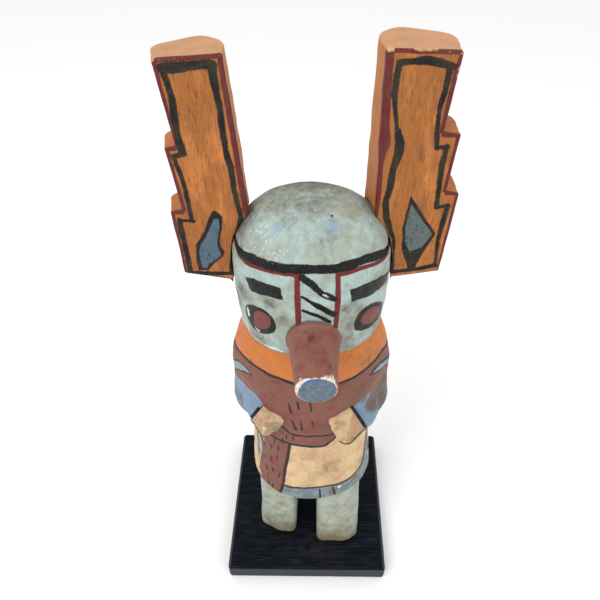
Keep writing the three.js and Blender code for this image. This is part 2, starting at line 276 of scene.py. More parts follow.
def met_by_level_rays(form, azimuth, height, middle, start, steps=60):
    """Where level rays that come in toward an upright line first meet a form. Each ray steps inward by most
    of its distance to the form until it touches."""
    reach = np.full(np.broadcast(azimuth, height).shape, start)
    for _ in range(steps):
        reach = np.maximum(reach - 0.8 * form(level_point(azimuth, height, reach, middle)), 0.01)
    return reach


def around(columns):
    """Azimuths of a ring's points, from behind the doll and round by its right side, in radians."""
    return (np.arange(columns) / columns * 2 - 1) * math.pi


def caps(reach_rings, heights, steps):
    """Adds rings that shrink to the middle below the first ring and above the last, for flat ends."""
    shares = np.linspace(0.08, 0.92, steps)
    first = reach_rings[0][None] * shares[:, None]
    last = reach_rings[-1][None] * shares[::-1, None]
    all_heights = np.concatenate([np.full(steps, heights[0]), heights, np.full(steps, heights[-1])])
    return np.concatenate([first, reach_rings, last]), all_heights


def carved_form(form, columns, heights, middle, carving, start=52.0, end_rings=7):
    """Rings of a form that level rays find from all round, carved, and closed with flat ends. Also returns
    the azimuths of their points and their heights."""
    azimuth = around(columns)[None]
    reach = met_by_level_rays(form, azimuth, heights[:, None], middle, start)
    points = level_point(azimuth, heights[:, None], reach, middle)
    reach, heights = caps(reach + carved(points, *carving), heights, end_rings)
    return level_point(azimuth, heights[:, None], reach, middle), azimuth, heights[:, None]


# Brush marks, as distances in mm that are below zero inside the mark

def path_distance(u, v, path, widths):
    """Distance from a brush line: to its nearest stretch, less half the width that the brush had there."""
    path = np.asarray(path, float)
    widths = np.broadcast_to(np.asarray(widths, float), (len(path),))
    best = np.full(np.broadcast(u, v).shape, FAR)
    for (u0, v0), (u1, v1), w0, w1 in zip(path[:-1], path[1:], widths[:-1], widths[1:]):
        run = (u1 - u0) ** 2 + (v1 - v0) ** 2
        t = np.clip(((u - u0) * (u1 - u0) + (v - v0) * (v1 - v0)) / run, 0, 1)
        away = np.hypot(u - u0 - t * (u1 - u0), v - v0 - t * (v1 - v0))
        best = np.minimum(best, away - (w0 + t * (w1 - w0)) / 2)
    return best


def area_distance(u, v, outline):
    """Distance from a painted area: to its outline, and below zero where a level line crosses it an odd
    number of times on the way out."""
    closed = list(outline) + [outline[0]]
    away = path_distance(u, v, closed, 0)
    inside = np.zeros(np.broadcast(u, v).shape, bool)
    for (u0, v0), (u1, v1) in zip(closed[:-1], closed[1:]):
        if v0 != v1:
            crosses = ((v0 > v) != (v1 > v)) & (u < u0 + (v - v0) * (u1 - u0) / (v1 - v0))
            inside ^= crosses
    return np.where(inside, -away, away)


def quarter_points(points, following):
    """The points a quarter of the way in from both ends of each side."""
    return np.stack([0.75 * points + 0.25 * following, 0.25 * points + 0.75 * following], 1).reshape(-1, 2)


def softened(outline, rounds=2):
    """An outline with its corners cut off, as a brush leaves them: each round keeps the quarter points."""
    points = np.asarray(outline, float)
    for _ in range(rounds):
        points = quarter_points(points, np.roll(points, -1, axis=0))
    return [tuple(point) for point in points]


def curved(path, rounds=2):
    """A line with its bends eased and its ends kept: each round cuts every corner as softened does."""
    points = np.asarray(path, float)
    for _ in range(rounds):
        inner = quarter_points(points[:-1], points[1:])[1:-1]
        points = np.concatenate([points[:1], inner, points[-1:]])
    return points


def least(*distances):
    """Several marks in one colour: the distance to the nearest."""
    return np.minimum(np.minimum.reduce(distances), FAR)


ARC = 0.43  # mm round the doll's surface in one degree of azimuth


def wrapped(points):
    """Marks given as (azimuth in degrees, height in mm), as places on the surface laid flat in mm."""
    return [(azimuth * ARC, height) for azimuth, height in points]


def brushes(azimuth, heights):
    """Two brushes for a skin laid flat: one draws strokes along paths, and one fills outlines. Both take
    places as wrapped does, and ease gives how they round what they are given."""
    u = np.degrees(azimuth) * ARC + 0 * heights
    v = heights + 0 * u

    def stroke(path, widths, ease=lambda places: places):
        return path_distance(u, v, ease(wrapped(path)), widths)

    def area(outline, ease=lambda places: places):
        return area_distance(u, v, ease(wrapped(outline)))

    return u, v, stroke, area


# Head

BROW_BAND = (
    ((-180, 182.2), (-100, 181.6), (-80, 181.2), (-70, 180.4), (-62, 180.5), (-50, 181.2), (-42, 181.3),
     (-26, 181.5), (-8, 182.0), (21, 181.5), (34, 181.6), (49, 181.6), (60, 180.6), (68, 179.6), (78, 179.4),
     (90, 181), (110, 182.2), (180, 182.2)),
    (1.8, 1.6, 1.2, 2.4, 2.8, 2.9, 2.9, 2.9, 2.8, 2.8, 2.9, 2.8, 2.9, 2.7, 2.2, 1.6, 1.8, 1.8),
)
BROW_LINES = (
    (((-92, 180.6), (-76, 180.1), (-69, 179.2), (-59, 179), (-42, 179.5), (-24, 180), (-10.5, 180.2),
      (-10.5, 170), (-10, 160)), (1.0, 1.0, 1.2, 1.5, 1.6, 1.5, 2.0, 2.3, 2.2)),
    (((96, 180.4), (84, 178.9), (77, 177.9), (66, 178), (42, 179.5), (22.5, 179.6), (21.5, 168), (21, 159)),
     (1.0, 1.1, 1.2, 1.4, 1.5, 1.9, 1.8, 1.9)),
)
CHEVRONS = (
    (((-6.5, 179.2), (2, 176.6), (9, 173.6), (19, 171.2)), (2.6, 2.5, 2.2, 2.3)),
    (((-7, 172.4), (4, 169.4), (19, 164.8)), (1.0, 1.9, 2.3)),
    (((-6.5, 166.8), (6, 164.8), (16, 161.6)), (1.1, 1.2, 1.3)),
)
EYES = (
    ((-56, 173.6), (-47, 175), (-36, 175), (-24, 174.7), (-22, 170.2), (-36, 170.2), (-50, 169.2),
     (-54, 170.5)),
    ((32, 173.4), (41, 173.6), (52, 172.9), (63, 172.3), (75, 170.6), (72, 167.2), (55, 167.1), (45, 167.7),
     (33, 168.2)),
)
CHEEKS = (
    ((-63, 158), (-57, 162), (-47, 164), (-36, 163.4), (-29, 159.4), (-30, 155), (-44, 151.2), (-58, 151.6)),
    ((37, 157), (40, 162), (50, 163.6), (62, 162), (72, 158.4), (72, 151.8), (55, 152), (40, 153.4)),
)
CHEEK_MIDDLES = (
    ((-52, 157), (-49, 161), (-42, 162.6), (-35, 161.4), (-34, 157.4), (-41, 154), (-50, 153.8)),
    ((43, 159.4), (52, 162), (64, 159.4), (67.5, 154.8), (57, 153.8), (45.5, 155.4)),
)
# Chalky strokes and their widths: those on the left cheek and under the left eye are painted highlights, and
# the rest are scuffs.
FACE_SCUFFS_AND_HIGHLIGHTS = (
    (((10.5, 173.2), (14.5, 172)), 0.5), (((-57.5, 159.8), (-56.5, 157.2)), 1.0),
    (((-51, 153), (-47, 152.4)), 0.7), (((-55.4, 172), (-53, 170.4)), 0.6),
    (((-72, 148.4), (-60, 146.8), (-40, 146.2), (-24, 146.3)), 0.5), (((-66, 151.6), (-62, 148)), 0.5),
    (((-34, 147.2), (-26, 145.9)), 0.5),
)
FLECKED = ((-72, 184), (-66, 192), (-48, 194), (-26, 190), (-16, 184), (-40, 182.4))
# Spots: azimuth, height and radius, and for grime how strong it is too
BLUE_PATCHES = ((-34, 190.8, 1.6), (22, 191.6, 2.3))
DARK_SPECKS = ((29, 193.4, 0.35),)
HEAD_GRIME = (
    (-84, 186, 9, 0.8), (-60, 194, 7, 0.5), (180, 188, 22, 0.9), (0, 195, 11, 0.5), (-30, 193, 6, 0.45),
    (90, 190, 9, 0.5), (-58, 166, 5, 0.7), (-30, 167, 4, 0.6), (-72, 160, 6, 0.7), (-45, 148, 5, 0.6),
    (-14, 148, 5, 0.3), (-20, 162, 3, 0.5), (28, 150, 6, 0.55), (36, 164, 4, 0.5), (62, 149, 6, 0.6),
    (27, 166, 4, 0.6), (30, 158, 5, 0.6), (26, 174, 3, 0.4), (10, 190, 6, 0.4), (-12, 195, 7, 0.5),
    (5, 164, 5, 0.2), (88, 168, 7, 0.6), (-88, 172, 8, 0.8),
)
# How far the painted shade round the snout's root reaches.
ROOT_SHADE_SPREAD = 0.9  # past the snout's root


def head_half_width(height):
    """Half width of the head at a height: a nearly upright drum, then a dome that is fuller than an oval, as
    its power is above two."""
    drum = smooth_through(np.clip(height, CHIN_Z, BROW_Z) - CHIN_Z, HEAD_HEIGHTS, HEAD_HALF_WIDTHS)
    rise = np.clip((height - BROW_Z) / (CROWN_Z - BROW_Z), 0, 1)
    dome = DOME_HALF_WIDTH * (1 - rise**DOME_FULLNESS) ** (1 / DOME_FULLNESS)
    return np.where(height > BROW_Z, dome, drum)


def oval_reach(azimuth, half_width, depth_ratio):
    """Level reach of an oval in a direction: its half width over the length of the pressed direction."""
    return half_width / np.hypot(np.sin(azimuth), np.cos(azimuth) / depth_ratio)


def make_head(material):
    """The head: pressed ovals whose half width follows the drum and the dome, cut by the knife and worn."""
    columns, drum_rows, dome_rows, under_rows = 340, 92, 130, 5
    azimuth = around(columns)[None]
    drum = CHIN_Z + DRUM_HEIGHT * np.linspace(0, 1, drum_rows) ** 1.25
    turn = np.linspace(0, math.pi / 2, dome_rows + 1)[1:-1]
    dome = BROW_Z + (CROWN_Z - BROW_Z) * np.sin(turn) ** (2 / DOME_FULLNESS)
    heights = np.concatenate([drum, dome])
    half = head_half_width(heights) - rounding(heights - CHIN_Z, CHIN_EDGE)
    reach = oval_reach(azimuth, half[:, None], HEAD_DEPTH_RATIO)
    middle = (HEAD_X, AXIS_Y)
    points = level_point(azimuth, heights[:, None], reach, middle)
    fade = np.clip((CROWN_Z - heights) / 3, 0, 1) * np.clip(half / 8, 0, 1)
    reach = reach + fade[:, None] * carved(points, 24, 0.22, 9, 0.2, -0.25, 3)
    shares = np.linspace(0.1, 0.92, under_rows)
    reach = np.concatenate([reach[0][None] * shares[:, None], reach])
    heights = np.concatenate([np.full(under_rows, CHIN_Z), heights])
    rings = level_point(azimuth, heights[:, None], reach, middle)
    u, v, stroke, area = brushes(azimuth, heights[:, None])

    def on_head(turned, height):
        turned, wide = math.radians(turned), float(head_half_width(np.array(height)))
        return (HEAD_X + wide * math.sin(turned), AXIS_Y - wide * HEAD_DEPTH_RATIO * math.cos(turned), height)

    def spots_distance(spots):
        return least(*[away_from(on_head(*place), rings) - size for *place, size in spots])

    grime = [(on_head(*place), radius, strong) for *place, radius, strong in HEAD_GRIME]
    snout_x = math.degrees(math.asin((SNOUT_ROOT[0] - HEAD_X) / DOME_HALF_WIDTH)) * ARC
    from_snout = np.hypot(u - snout_x, v - SNOUT_ROOT[2]) - SNOUT_ROOT_RADIUS
    marks = {
        "black": least(
            stroke(*BROW_BAND), *[stroke(*chevron) for chevron in CHEVRONS], *[area(eye) for eye in EYES],
            *[area(cheek, softened) for cheek in CHEEKS], spots_distance(DARK_SPECKS),
        ),
        "maroon": least(*[stroke(*line) for line in BROW_LINES]),
        "cheek": least(*[area(cheek, softened) for cheek in CHEEK_MIDDLES]),
        # Scuffs, and painted highlights on the left cheek and under the left eye.
        "scuff_and_highlight": least(*[stroke(*scuff_and_highlight) for scuff_and_highlight in FACE_SCUFFS_AND_HIGHLIGHTS]),
        "flecked": area(FLECKED, softened),
        # Painted shade: a dark ring on the face round the snout's root.
        "spread": np.minimum(from_snout - ROOT_SHADE_SPREAD, FAR),
        "dirt_and_shade": soft_spots(rings, grime),
        "blue": spots_distance(BLUE_PATCHES),
        # Height above the chin, for the painted shade where the head meets the collar.
        "crease": np.minimum(v - CHIN_Z, FAR),
    }
    finish_piece(build_skin("head", rings, marks), material, "figure")


# Hands: whittled blocks. Each facet is a point on it and the way it faces, first those that show in front
# and then those round the sides. The cuff's line lies in a plane that faces along the forearm. One facet
# is painted darker than the rest as painted shade, and one place is chipped.

LEFT_HAND = {
    "middle": (-14.6, -19.6, 107.2), "cuff": ((-16, -19.5, 113.6), (0.77, -0.46, -0.44)),
    "shown": (((-15.4, -25, 111), (0.11, -0.42, 0.9)), ((-15.4, -25, 111), (-0.74, -0.66, 0.12)),
              ((-15.4, -25, 111), (0.07, -0.99, 0.1))),
    "sides": (((-7.6, -24.5, 110.3), (0.76, 0.6, 0.26)), ((-7.6, -24.5, 110.3), (0.83, 0.2, -0.57)),
              ((-11, -26, 104.8), (0.58, 0.15, -0.8)), ((-16.1, -26, 101.1), (-0.51, 0, -0.86)),
              ((-16, -19.5, 113.9), (-0.86, 0.24, 0.45)), ((-15, -12, 107), (-0.2, 0.98, 0))),
    "shaded_facet": 2, "chip": (-15.6, -26, 107.4),
}
RIGHT_HAND = {
    "middle": (16.4, -22.4, 106.8), "cuff": ((18.1, -19.5, 111.7), (-0.83, -0.42, -0.38)),
    "shown": (((17.8, -22.5, 115.8), (0.06, -0.92, 0.38)), ((17.8, -22.5, 115.8), (0.56, -0.79, 0.24))),
    "sides": (((17.8, -22.5, 116.1), (-0.26, 0.26, 0.93)), ((9.2, -26, 112.6), (-0.95, 0.25, 0.19)),
              ((8.8, -26.5, 110.8), (-0.87, 0.1, -0.48)), ((13.2, -28.5, 102.4), (-0.51, 0.1, -0.85)),
              ((17.4, -29, 99.8), (0.41, 0, -0.91)), ((23.9, -22, 102), (0.91, 0.1, 0.39)),
              ((16, -12, 104), (0.2, 0.98, 0))),
    "shaded_facet": 1, "chip": (12.6, -26, 99.8),
}
PINK_FACET = 1
CRACKED_FACETS = [5, 6]  # the two beneath, along whose front edges the dark cracks run
HAND_SHARPNESS = 26
CHIP_RADIUS = 0.8
FACET_SHARE = 0.97  # of the greatest share, above which a point is on a facet
FACET_CRISPNESS = 40
CRACK_SHARE = 1.15  # of the front over the sides, where the cracks run
CRACK_CRISPNESS = 20


def cuff_distance(points, hand):
    """How far points lie past the cuff's plane, toward the knuckles."""
    place, facing = (np.array(part) for part in hand["cuff"])
    return (points - place) @ (facing / np.linalg.norm(facing))


def make_hand(name, hand, material):
    """A whittled block with flat facets. In a direction from the middle, a facet alone would be met at its
    own distance over how squarely it is faced. One over that is the facet's share, and the block's reach is
    one over a high power mean of the shares, which eases the edges between facets."""
    columns, rows = 180, 120
    turn = around(columns)[None]
    tilt = np.linspace(-math.pi / 2, math.pi / 2, rows + 2)[1:-1, None]
    direction = np.stack([
        np.cos(tilt) * np.sin(turn), -np.cos(tilt) * np.cos(turn), np.sin(tilt) + 0 * turn,
    ], -1)
    middle = np.array(hand["middle"])
    shares = []
    for place, facing in hand["shown"] + hand["sides"]:
        facing = np.array(facing) / np.linalg.norm(facing)
        shares.append(np.maximum(direction @ facing, 0) / ((np.array(place) - middle) @ facing))
    shares = np.stack(shares)
    reach = (shares**HAND_SHARPNESS).sum(0) ** (-1 / HAND_SHARPNESS)
    rings = middle + reach[..., None] * direction
    rings = rings + direction * carved(rings, 2.2, 0.07, 5, 0.22, 0.3, 25)[..., None]
    second, most = np.sort(shares, 0)[-2:]
    shown = shares[:len(hand["shown"])].max(0)
    sides = shares[len(hand["shown"]):].max(0)
    beneath = shares[CRACKED_FACETS].max(0)

    def on_facet(which):
        return np.clip((shares[which] / most - FACET_SHARE) * FACET_CRISPNESS, 0, 1)

    off_cracked = np.maximum(0.98 - beneath / sides, 0) * CRACK_CRISPNESS
    lower_side = np.clip((sides / shown - 1.02) * CRACK_CRISPNESS, 0, 1)
    marks = {
        "ridge": (1 - second / most) * reach,
        "pink": on_facet(PINK_FACET),
        # Painted shade: the facet that is painted darker.
        "shaded_facet": on_facet(hand["shaded_facet"]),
        "crack": np.abs(shown / sides - CRACK_SHARE) * reach + off_cracked,
        "chip": np.minimum(away_from(hand["chip"], rings) - CHIP_RADIUS, FAR),
        # Painted shade on the lower sides, which face down.
        "under": lower_side * np.clip(-direction[..., 2] * 2 + 0.4, 0, 1),
        "cuff": cuff_distance(rings, hand),
        "hollow": uneven(rings, 5, 1.0, 27),
    }
    finish_piece(build_skin(name, rings, marks), material, "figure")


# Body

COLLAR_LINE = ((-180, 136.5), (-120, 136), (-95, 132.6), (-79, 133.4), (-67, 134.8), (-53, 135.2),
               (-41, 134.6), (-27, 133.7), (-13, 132.4), (6, 131.9), (25, 132.2), (38, 132.9), (53, 134.4),
               (70, 135.7), (81, 133.9), (100, 134), (120, 136), (180, 136.5))
WEDGES = (
    ((-104, 116), (-90, 120), (-80, 125.6), (-72, 129.2), (-63, 131.2), (-58, 130.8), (-53, 129.4),
     (-62, 127.8), (-72, 124), (-80, 120), (-92, 115)),
    ((54, 129.7), (60, 131), (66, 131), (72, 129.8), (84, 126.4), (98, 121), (96, 117.5), (84, 123),
     (74, 126.4), (63, 128)),
)
RIGHT_WEDGE_EDGE = ((54, 129.8), (60, 131.2), (66, 131.3), (72, 130.1), (84, 126.7))
PONCHO_EDGE = ((-180, 98), (-128, 100), (-108, 109), (-95, 113), (-87, 114.8), (-68, 118), (-53, 118.4),
               (-45, 115.6), (-43, 104), (-31, 98), (0, 98), (31, 98), (39, 104), (41, 115.1), (55, 117.4),
               (73, 114.8), (87, 113.3), (108, 109), (128, 100), (180, 98))
BELT_TOP = ((-180, 102), (-120, 103), (-60, 105.5), (-40, 106.3), (-27, 104.6), (-22, 101.2), (-15, 100),
            (-1, 101), (18, 99.8), (40, 101.5), (60, 103), (120, 103), (180, 102))
BELT_BOTTOM = ((-180, 93), (-110, 94), (-60, 94), (-22, 92.5), (-8, 92.9), (13, 92), (20, 93.8), (27, 97.5),
               (34, 98.5), (60, 97), (110, 95), (180, 93))
SASH = ((-60, 97), (-22, 98), (-22, 92.6), (-24, 86), (-26, 79.5), (-29, 71.2), (-31, 61), (-34, 53),
        (-38, 48), (-54, 48), (-62, 53.3), (-66, 57.8), (-62, 67.2), (-59, 77.5), (-63, 84))
SASH_SIDE = ((-22, 92.5), (-24, 86), (-26, 79.5), (-29, 71.2), (-31.5, 60), (-37, 49.5))
SASH_NOTCH = ((-59, 87), (-54.5, 87), (-55.5, 80))
SASH_DASHES = ((-25, 97.4), (-18, 97.6), (-40, 90), (-30, 93.4), (-45, 84.2), (-38, 78.6), (-46, 75),
               (-53, 66), (-44, 67.8), (-51, 55), (-46, 53.6), (-52, 60), (-57, 72), (-36, 86), (-36, 66))
DASH_HALF_LENGTH = 1.7
CHEST_TICKS = (
    (((-19, 121.5), (-17, 116.3)), (0.9, 1.3)), (((-11, 123.4), (-10, 119)), (0.9, 1.1)),
    (((0, 123.4), (1, 118.1)), (0.8, 0.9)), (((-17, 110.8), (-14, 104.8)), (0.9, 1.3)),
    (((-9, 111.5), (-8, 104.9)), (0.7, 1.1)), (((1.4, 111.6), (3, 109), (2, 106.4)), (0.8, 0.6, 0.4)),
)
GREY_TOP_Z = 61  # of the grey hem on the back, where the kilt's line isn't seen
KILT_LINE = ((-180, GREY_TOP_Z), (-140, 61), (-110, 62), (-84, 60), (-80, 46), (-66, 46), (-60, 57),
             (-31, 59.2), (-13, 60.7), (14, 61.4), (28, 60.6), (42, 60.3), (55, 61.8), (66, 65.5), (72, 73.2),
             (76, 81), (79, 90))
KILT_SIDE = ((79, 92), (80, 64), (84, 61.2), (120, 61), (180, GREY_TOP_Z))
HEM_STROKES = (((10, 59), (11.5, 48)), ((25, 59), (29, 50.5)), ((-150, 60), (-149, 52)),
               ((150, 60), (151, 52)))
HEM_STAINS = ((26, 55, 2.2), (52, 58, 2.5), (60, 62, 1.6))  # azimuth, height and radius
KILT_SLIVER = ((-72, 86), (-66, 84), (-63, 73), (-66, 64), (-71, 70))
HEM_SPOTS = ((33, 57.4, 1.0),)
SLEEVE_BROWN = (
    ((25.5, -15, 110), 5, 1.0), ((27, -13, 115), 5, 0.9), ((22, -17, 116), 3, 0.8), ((29, -9, 104), 6, 1.0),
    ((-27, -12, 106), 3.5, 0.8), ((-23, -15, 103), 3, 0.8),
)
# Soft spots of grime and painted shade, each a place, its radius and its strength. The painted shade lies
# round the arms and down the right side, and the rest is grime.
BODY_GRIME_AND_SHADE = (
    ((-27, -6, 106), 6, 0.6), ((-24, -12, 100), 5, 0.7), ((30, -6, 112), 9, 1.0), ((28, -10, 103), 7, 0.9),
    ((-12, -22, 124), 6, 0.4), ((8, -25, 110), 6, 0.4), ((19, -19, 122), 9, 0.6), ((21, -16, 137), 7, 0.5),
    ((10, -22, 76), 8, 0.5), ((24, -14, 66), 6, 0.5), ((2, 22, 100), 20, 0.7), ((2, 20, 60), 16, 0.5),
    ((-20, 12, 130), 9, 0.6), ((22, 12, 130), 9, 0.6),
)
BODY_CARVING = (22, 0.2, 8, 0.16, -0.15, 11)
CUFF_WIDTH = 1.4
DASH_WIDTH = 0.8
DASH_LEAN = 0.3
WEDGE_OUTLINE = 0.35  # half the width of the thin lines round the wedges, and then round the sash
SASH_OUTLINE = 0.3
SASH_OUTLINE_TOP_Z = 90
SLEEVE_FOOT_Z = WAIST_Z + 14
ARM_MARGIN = 0.3
NECK_Z = CHIN_Z + 2.2  # the top of the body's skin, inside the head's
SKIN_REACH = 9.5  # from a hand's middle, over which the body's skin beside it is painted as the hand is
CUFF_REACH = 12


def arm_form(points, arm):
    """How far points lie outside a sleeve: two limbs, shoulder to elbow and elbow to wrist, each as far from
    its middle line as the radius that it tapers to there."""
    def place(reach, forward, rise):
        return np.array([AXIS_X + arm["side"] * reach, AXIS_Y - forward, WAIST_Z + rise])

    def limb(start, end, start_radius, end_radius):
        along = end - start
        t = np.clip(((points - start) @ along) / (along @ along), 0, 1)
        return np.linalg.norm(points - start - t[..., None] * along, axis=-1) \
            - start_radius - t * (end_radius - start_radius)

    shoulder, elbow, wrist = place(*SHOULDER), place(*ELBOW), place(*arm["wrist"])
    upper = limb(shoulder, elbow, SHOULDER_RADIUS, ELBOW_RADIUS)
    lower = limb(elbow, wrist, ELBOW_RADIUS, arm["wrist_radius"])
    return np.minimum(upper, lower)


def trunk_form(points):
    """How far points lie outside the trunk: its pressed oval, deepest against its width at the waist."""
    height = points[..., 2] - HEM_Z
    half_width = smooth_through(height, BODY_HEIGHTS, BODY_HALF_WIDTHS)
    reach = np.where(height < WAIST_HEIGHT, WAIST_HEIGHT, CHEST_HEIGHT)
    near_waist = np.clip(1 - np.abs(height - WAIST_HEIGHT) / reach, 0, 1)
    ratio = BODY_DEPTH_RATIO + (WAIST_DEPTH_RATIO - BODY_DEPTH_RATIO) * near_waist
    level = np.hypot(points[..., 0] - AXIS_X, (points[..., 1] - AXIS_Y) / ratio)
    return (level - half_width + rounding(height, HEM_EDGE)) * ratio


def sleeves_form(points):
    """How far points lie outside the nearer sleeve."""
    return np.minimum(arm_form(points, LEFT_ARM), arm_form(points, RIGHT_ARM))


def make_body(material):
    """Kilt, chest, sleeves and collar as one carved skin, found by level rays from all round."""
    edge = HEM_Z + HEM_EDGE * np.linspace(0, 1, 9)[:-1] ** 2
    heights = np.concatenate([edge, np.linspace(HEM_Z + HEM_EDGE, NECK_Z, 226)])

    def form(points):
        return smooth_least(trunk_form(points), sleeves_form(points), SLEEVE_BLEND)

    rings, azimuth, heights = carved_form(form, 380, heights, (AXIS_X, AXIS_Y), BODY_CARVING)
    u, v, stroke, area = brushes(azimuth, heights)

    def height_of(line, **beyond):
        return np.interp(np.degrees(azimuth), *zip(*line), **beyond)

    def round_spots(spots):
        return least(*[np.hypot(u - place * ARC, v - height) - size for place, height, size in spots])

    off_sleeve = sleeves_form(rings) - trunk_form(rings)
    collar = height_of(COLLAR_LINE) - v
    sash = area(SASH)
    shown_sash = np.maximum(sash, -area(SASH_NOTCH))
    wedges = least(*[area(wedge) for wedge in WEDGES])
    sleeve = np.maximum(v - height_of(PONCHO_EDGE), np.minimum(off_sleeve, SLEEVE_FOOT_Z - v))
    poncho = np.maximum(np.maximum(-collar, height_of(BELT_BOTTOM) - v), -sleeve)
    grey_hem = v - height_of(KILT_LINE, right=GREY_TOP_Z)
    off_arm = off_sleeve + ARM_MARGIN
    skins, cuffs = [], []
    for hand in (LEFT_HAND, RIGHT_HAND):
        beyond, away = cuff_distance(rings, hand), away_from(hand["middle"], rings)
        skins.append(np.maximum(np.maximum(-beyond, away - SKIN_REACH), off_arm))
        cuff = np.abs(beyond + 0.3) - CUFF_WIDTH / 2
        cuffs.append(np.maximum(np.maximum(cuff, away - CUFF_REACH), off_arm))
    dashes = []
    for turned, height in SASH_DASHES:
        low = (turned * ARC, height - DASH_HALF_LENGTH)
        high = (turned * ARC + DASH_LEAN, height + DASH_HALF_LENGTH)
        dashes.append(path_distance(u, v, (low, high), DASH_WIDTH))
    ticks = [stroke(*tick) for tick in CHEST_TICKS]
    marks = {
        "collar": np.clip(collar, -FAR, FAR),
        "poncho": least(poncho, shown_sash),
        "sleeve": np.clip(sleeve, -FAR, FAR),
        "skin": least(*skins),
        "grey": least(grey_hem, area(KILT_SLIVER)),
        "brown": soft_spots(rings, SLEEVE_BROWN),
        "wedge": wedges,
        "line": least(
            stroke(COLLAR_LINE, 1.2), np.abs(wedges) - WEDGE_OUTLINE, stroke(RIGHT_WEDGE_EDGE, 1.3),
            np.where(v < SASH_OUTLINE_TOP_Z, np.abs(shown_sash) - SASH_OUTLINE, FAR),
            stroke(SASH_SIDE, 1.5, curved), stroke(KILT_SIDE, 1.2, curved),
            np.maximum(stroke(BELT_TOP, 1.3, curved), -off_arm),
            np.maximum(stroke(BELT_BOTTOM, 1.5, curved), -off_arm),
            np.maximum(stroke(KILT_LINE, 1.4, curved), 0.2 - sash),
            *[stroke(path, 1.0) for path in HEM_STROKES], *ticks, *dashes,
        ),
        "cuff": least(*cuffs),
        "stain": round_spots(HEM_STAINS),
        "spot": round_spots(HEM_SPOTS),
        # Grime and painted shade, in soft spots.
        "dirt_and_shade": soft_spots(rings, BODY_GRIME_AND_SHADE),
    }
    finish_piece(build_skin("body", rings, marks), material, "figure")


# Legs

def make_leg(name, leg, material):
    """A leg: a block with rounded upright edges, eased into the round root that spreads to the sole."""
    inner = LEG_GAP_X + leg["side"] * LEG_GAP / 2
    outer = inner + leg["side"] * leg["width"]
    middle = ((inner + outer) / 2, AXIS_Y - (leg["forward"] - LEG_BACKWARD) / 2)
    half = np.array([leg["width"] / 2, (leg["forward"] + LEG_BACKWARD) / 2])

    def form(points):
        sole = np.clip(1 - (points[..., 2] - SOLE_Z) / SOLE_SPREAD_HEIGHT, 0, 1)[..., None]
        spread = np.array([leg["side"] * (leg["flare"] + leg["lean"]) / 2, 0])
        wider = np.array([(leg["flare"] - leg["lean"]) / 2, 0])
        level = np.abs(points[..., :2] - middle - spread * sole) - half - wider * sole + LEG_CORNER
        block = np.linalg.norm(np.maximum(level, 0), axis=-1) + np.minimum(level.max(-1), 0) - LEG_CORNER
        rise = (points[..., 2] - SOLE_Z) / (HEM_Z - SOLE_Z)
        root_half = along_line((ROOT_SOLE_HALF_WIDTH, ROOT_HEM_HALF_WIDTH), rise)
        across = np.hypot(points[..., 0] - AXIS_X, (points[..., 1] - AXIS_Y) / BODY_DEPTH_RATIO)
        root = (across - root_half) * BODY_DEPTH_RATIO
        toe = np.array([leg["side"] * leg["toe_cut"], -1])
        front = np.array([middle[0] - leg["side"] * 0.6, AXIS_Y - leg["forward"]])
        cut = (points[..., :2] - front) @ (toe / np.linalg.norm(toe))
        shaped = -smooth_least(-block, -root, ROOT_BLEND)
        if leg["toe_cut"]:
            shaped = -smooth_least(-shaped, -cut, TOE_BLEND)
        return shaped + rounding(points[..., 2] - SOLE_Z, SOLE_EDGE)

    edge = SOLE_Z + SOLE_EDGE * np.linspace(0, 1, 6)[:-1] ** 2
    heights = np.concatenate([edge, np.linspace(SOLE_Z + SOLE_EDGE, HEM_Z + 2, 90)])
    rings, *_ = carved_form(form, 200, heights, middle, LEG_CARVING, start=34.0, end_rings=5)
    above_sole = rings[..., 2] - SOLE_Z
    facing = np.clip(-(rings[..., 1] - middle[1]) / half[1], 0, 1)
    marks = {"sole": above_sole, "dirt_and_shade": facing * np.clip(1.1 - above_sole / 34, 0.2, 1)}
    finish_piece(build_skin(name, rings, marks), material, "figure")


# Snout: its rim's marks are places round the rim, from the top to a viewer's left, and back along the side
# from the rim. Places below zero are in on the flat end.

RIM_CHIPS = (
    ((-1.4, -0.2), (-1.6, 0.8), (-2, 0.4), (-2.6, 1.4), (-3, 0.6), (-3.5, 2.2), (-3.9, 0.7), (-4.5, 2.6),
     (-4.9, 0.9), (-5.5, 3.1), (-6, 0.9), (-6.4, 2), (-7, 0.4), (-8, -0.2), (-6, -0.1), (-3.4, -0.3)),
    ((2, 0.3), (4, 0.8), (7.4, 0.9), (11, 0.4), (14, 0), (13, -0.5), (10, -1), (7, -1.1), (4, -0.5)),
    ((4.4, 1.4), (5.6, 1.9), (6.2, 1.2)),
)
RIM_BLUE = ((-7, -0.2), (-3, -0.6), (0, -0.4), (3, -0.7), (6, -0.6), (7, -1.3), (4, -1.3), (1, -2.1),
            (-3, -1), (-7, -0.6))
SNOUT_BLOTS = (((2.4, -29.5, 160.8), 1.3), ((9, -38, 158), 1.0), ((0.4, -27, 161), 0.6))


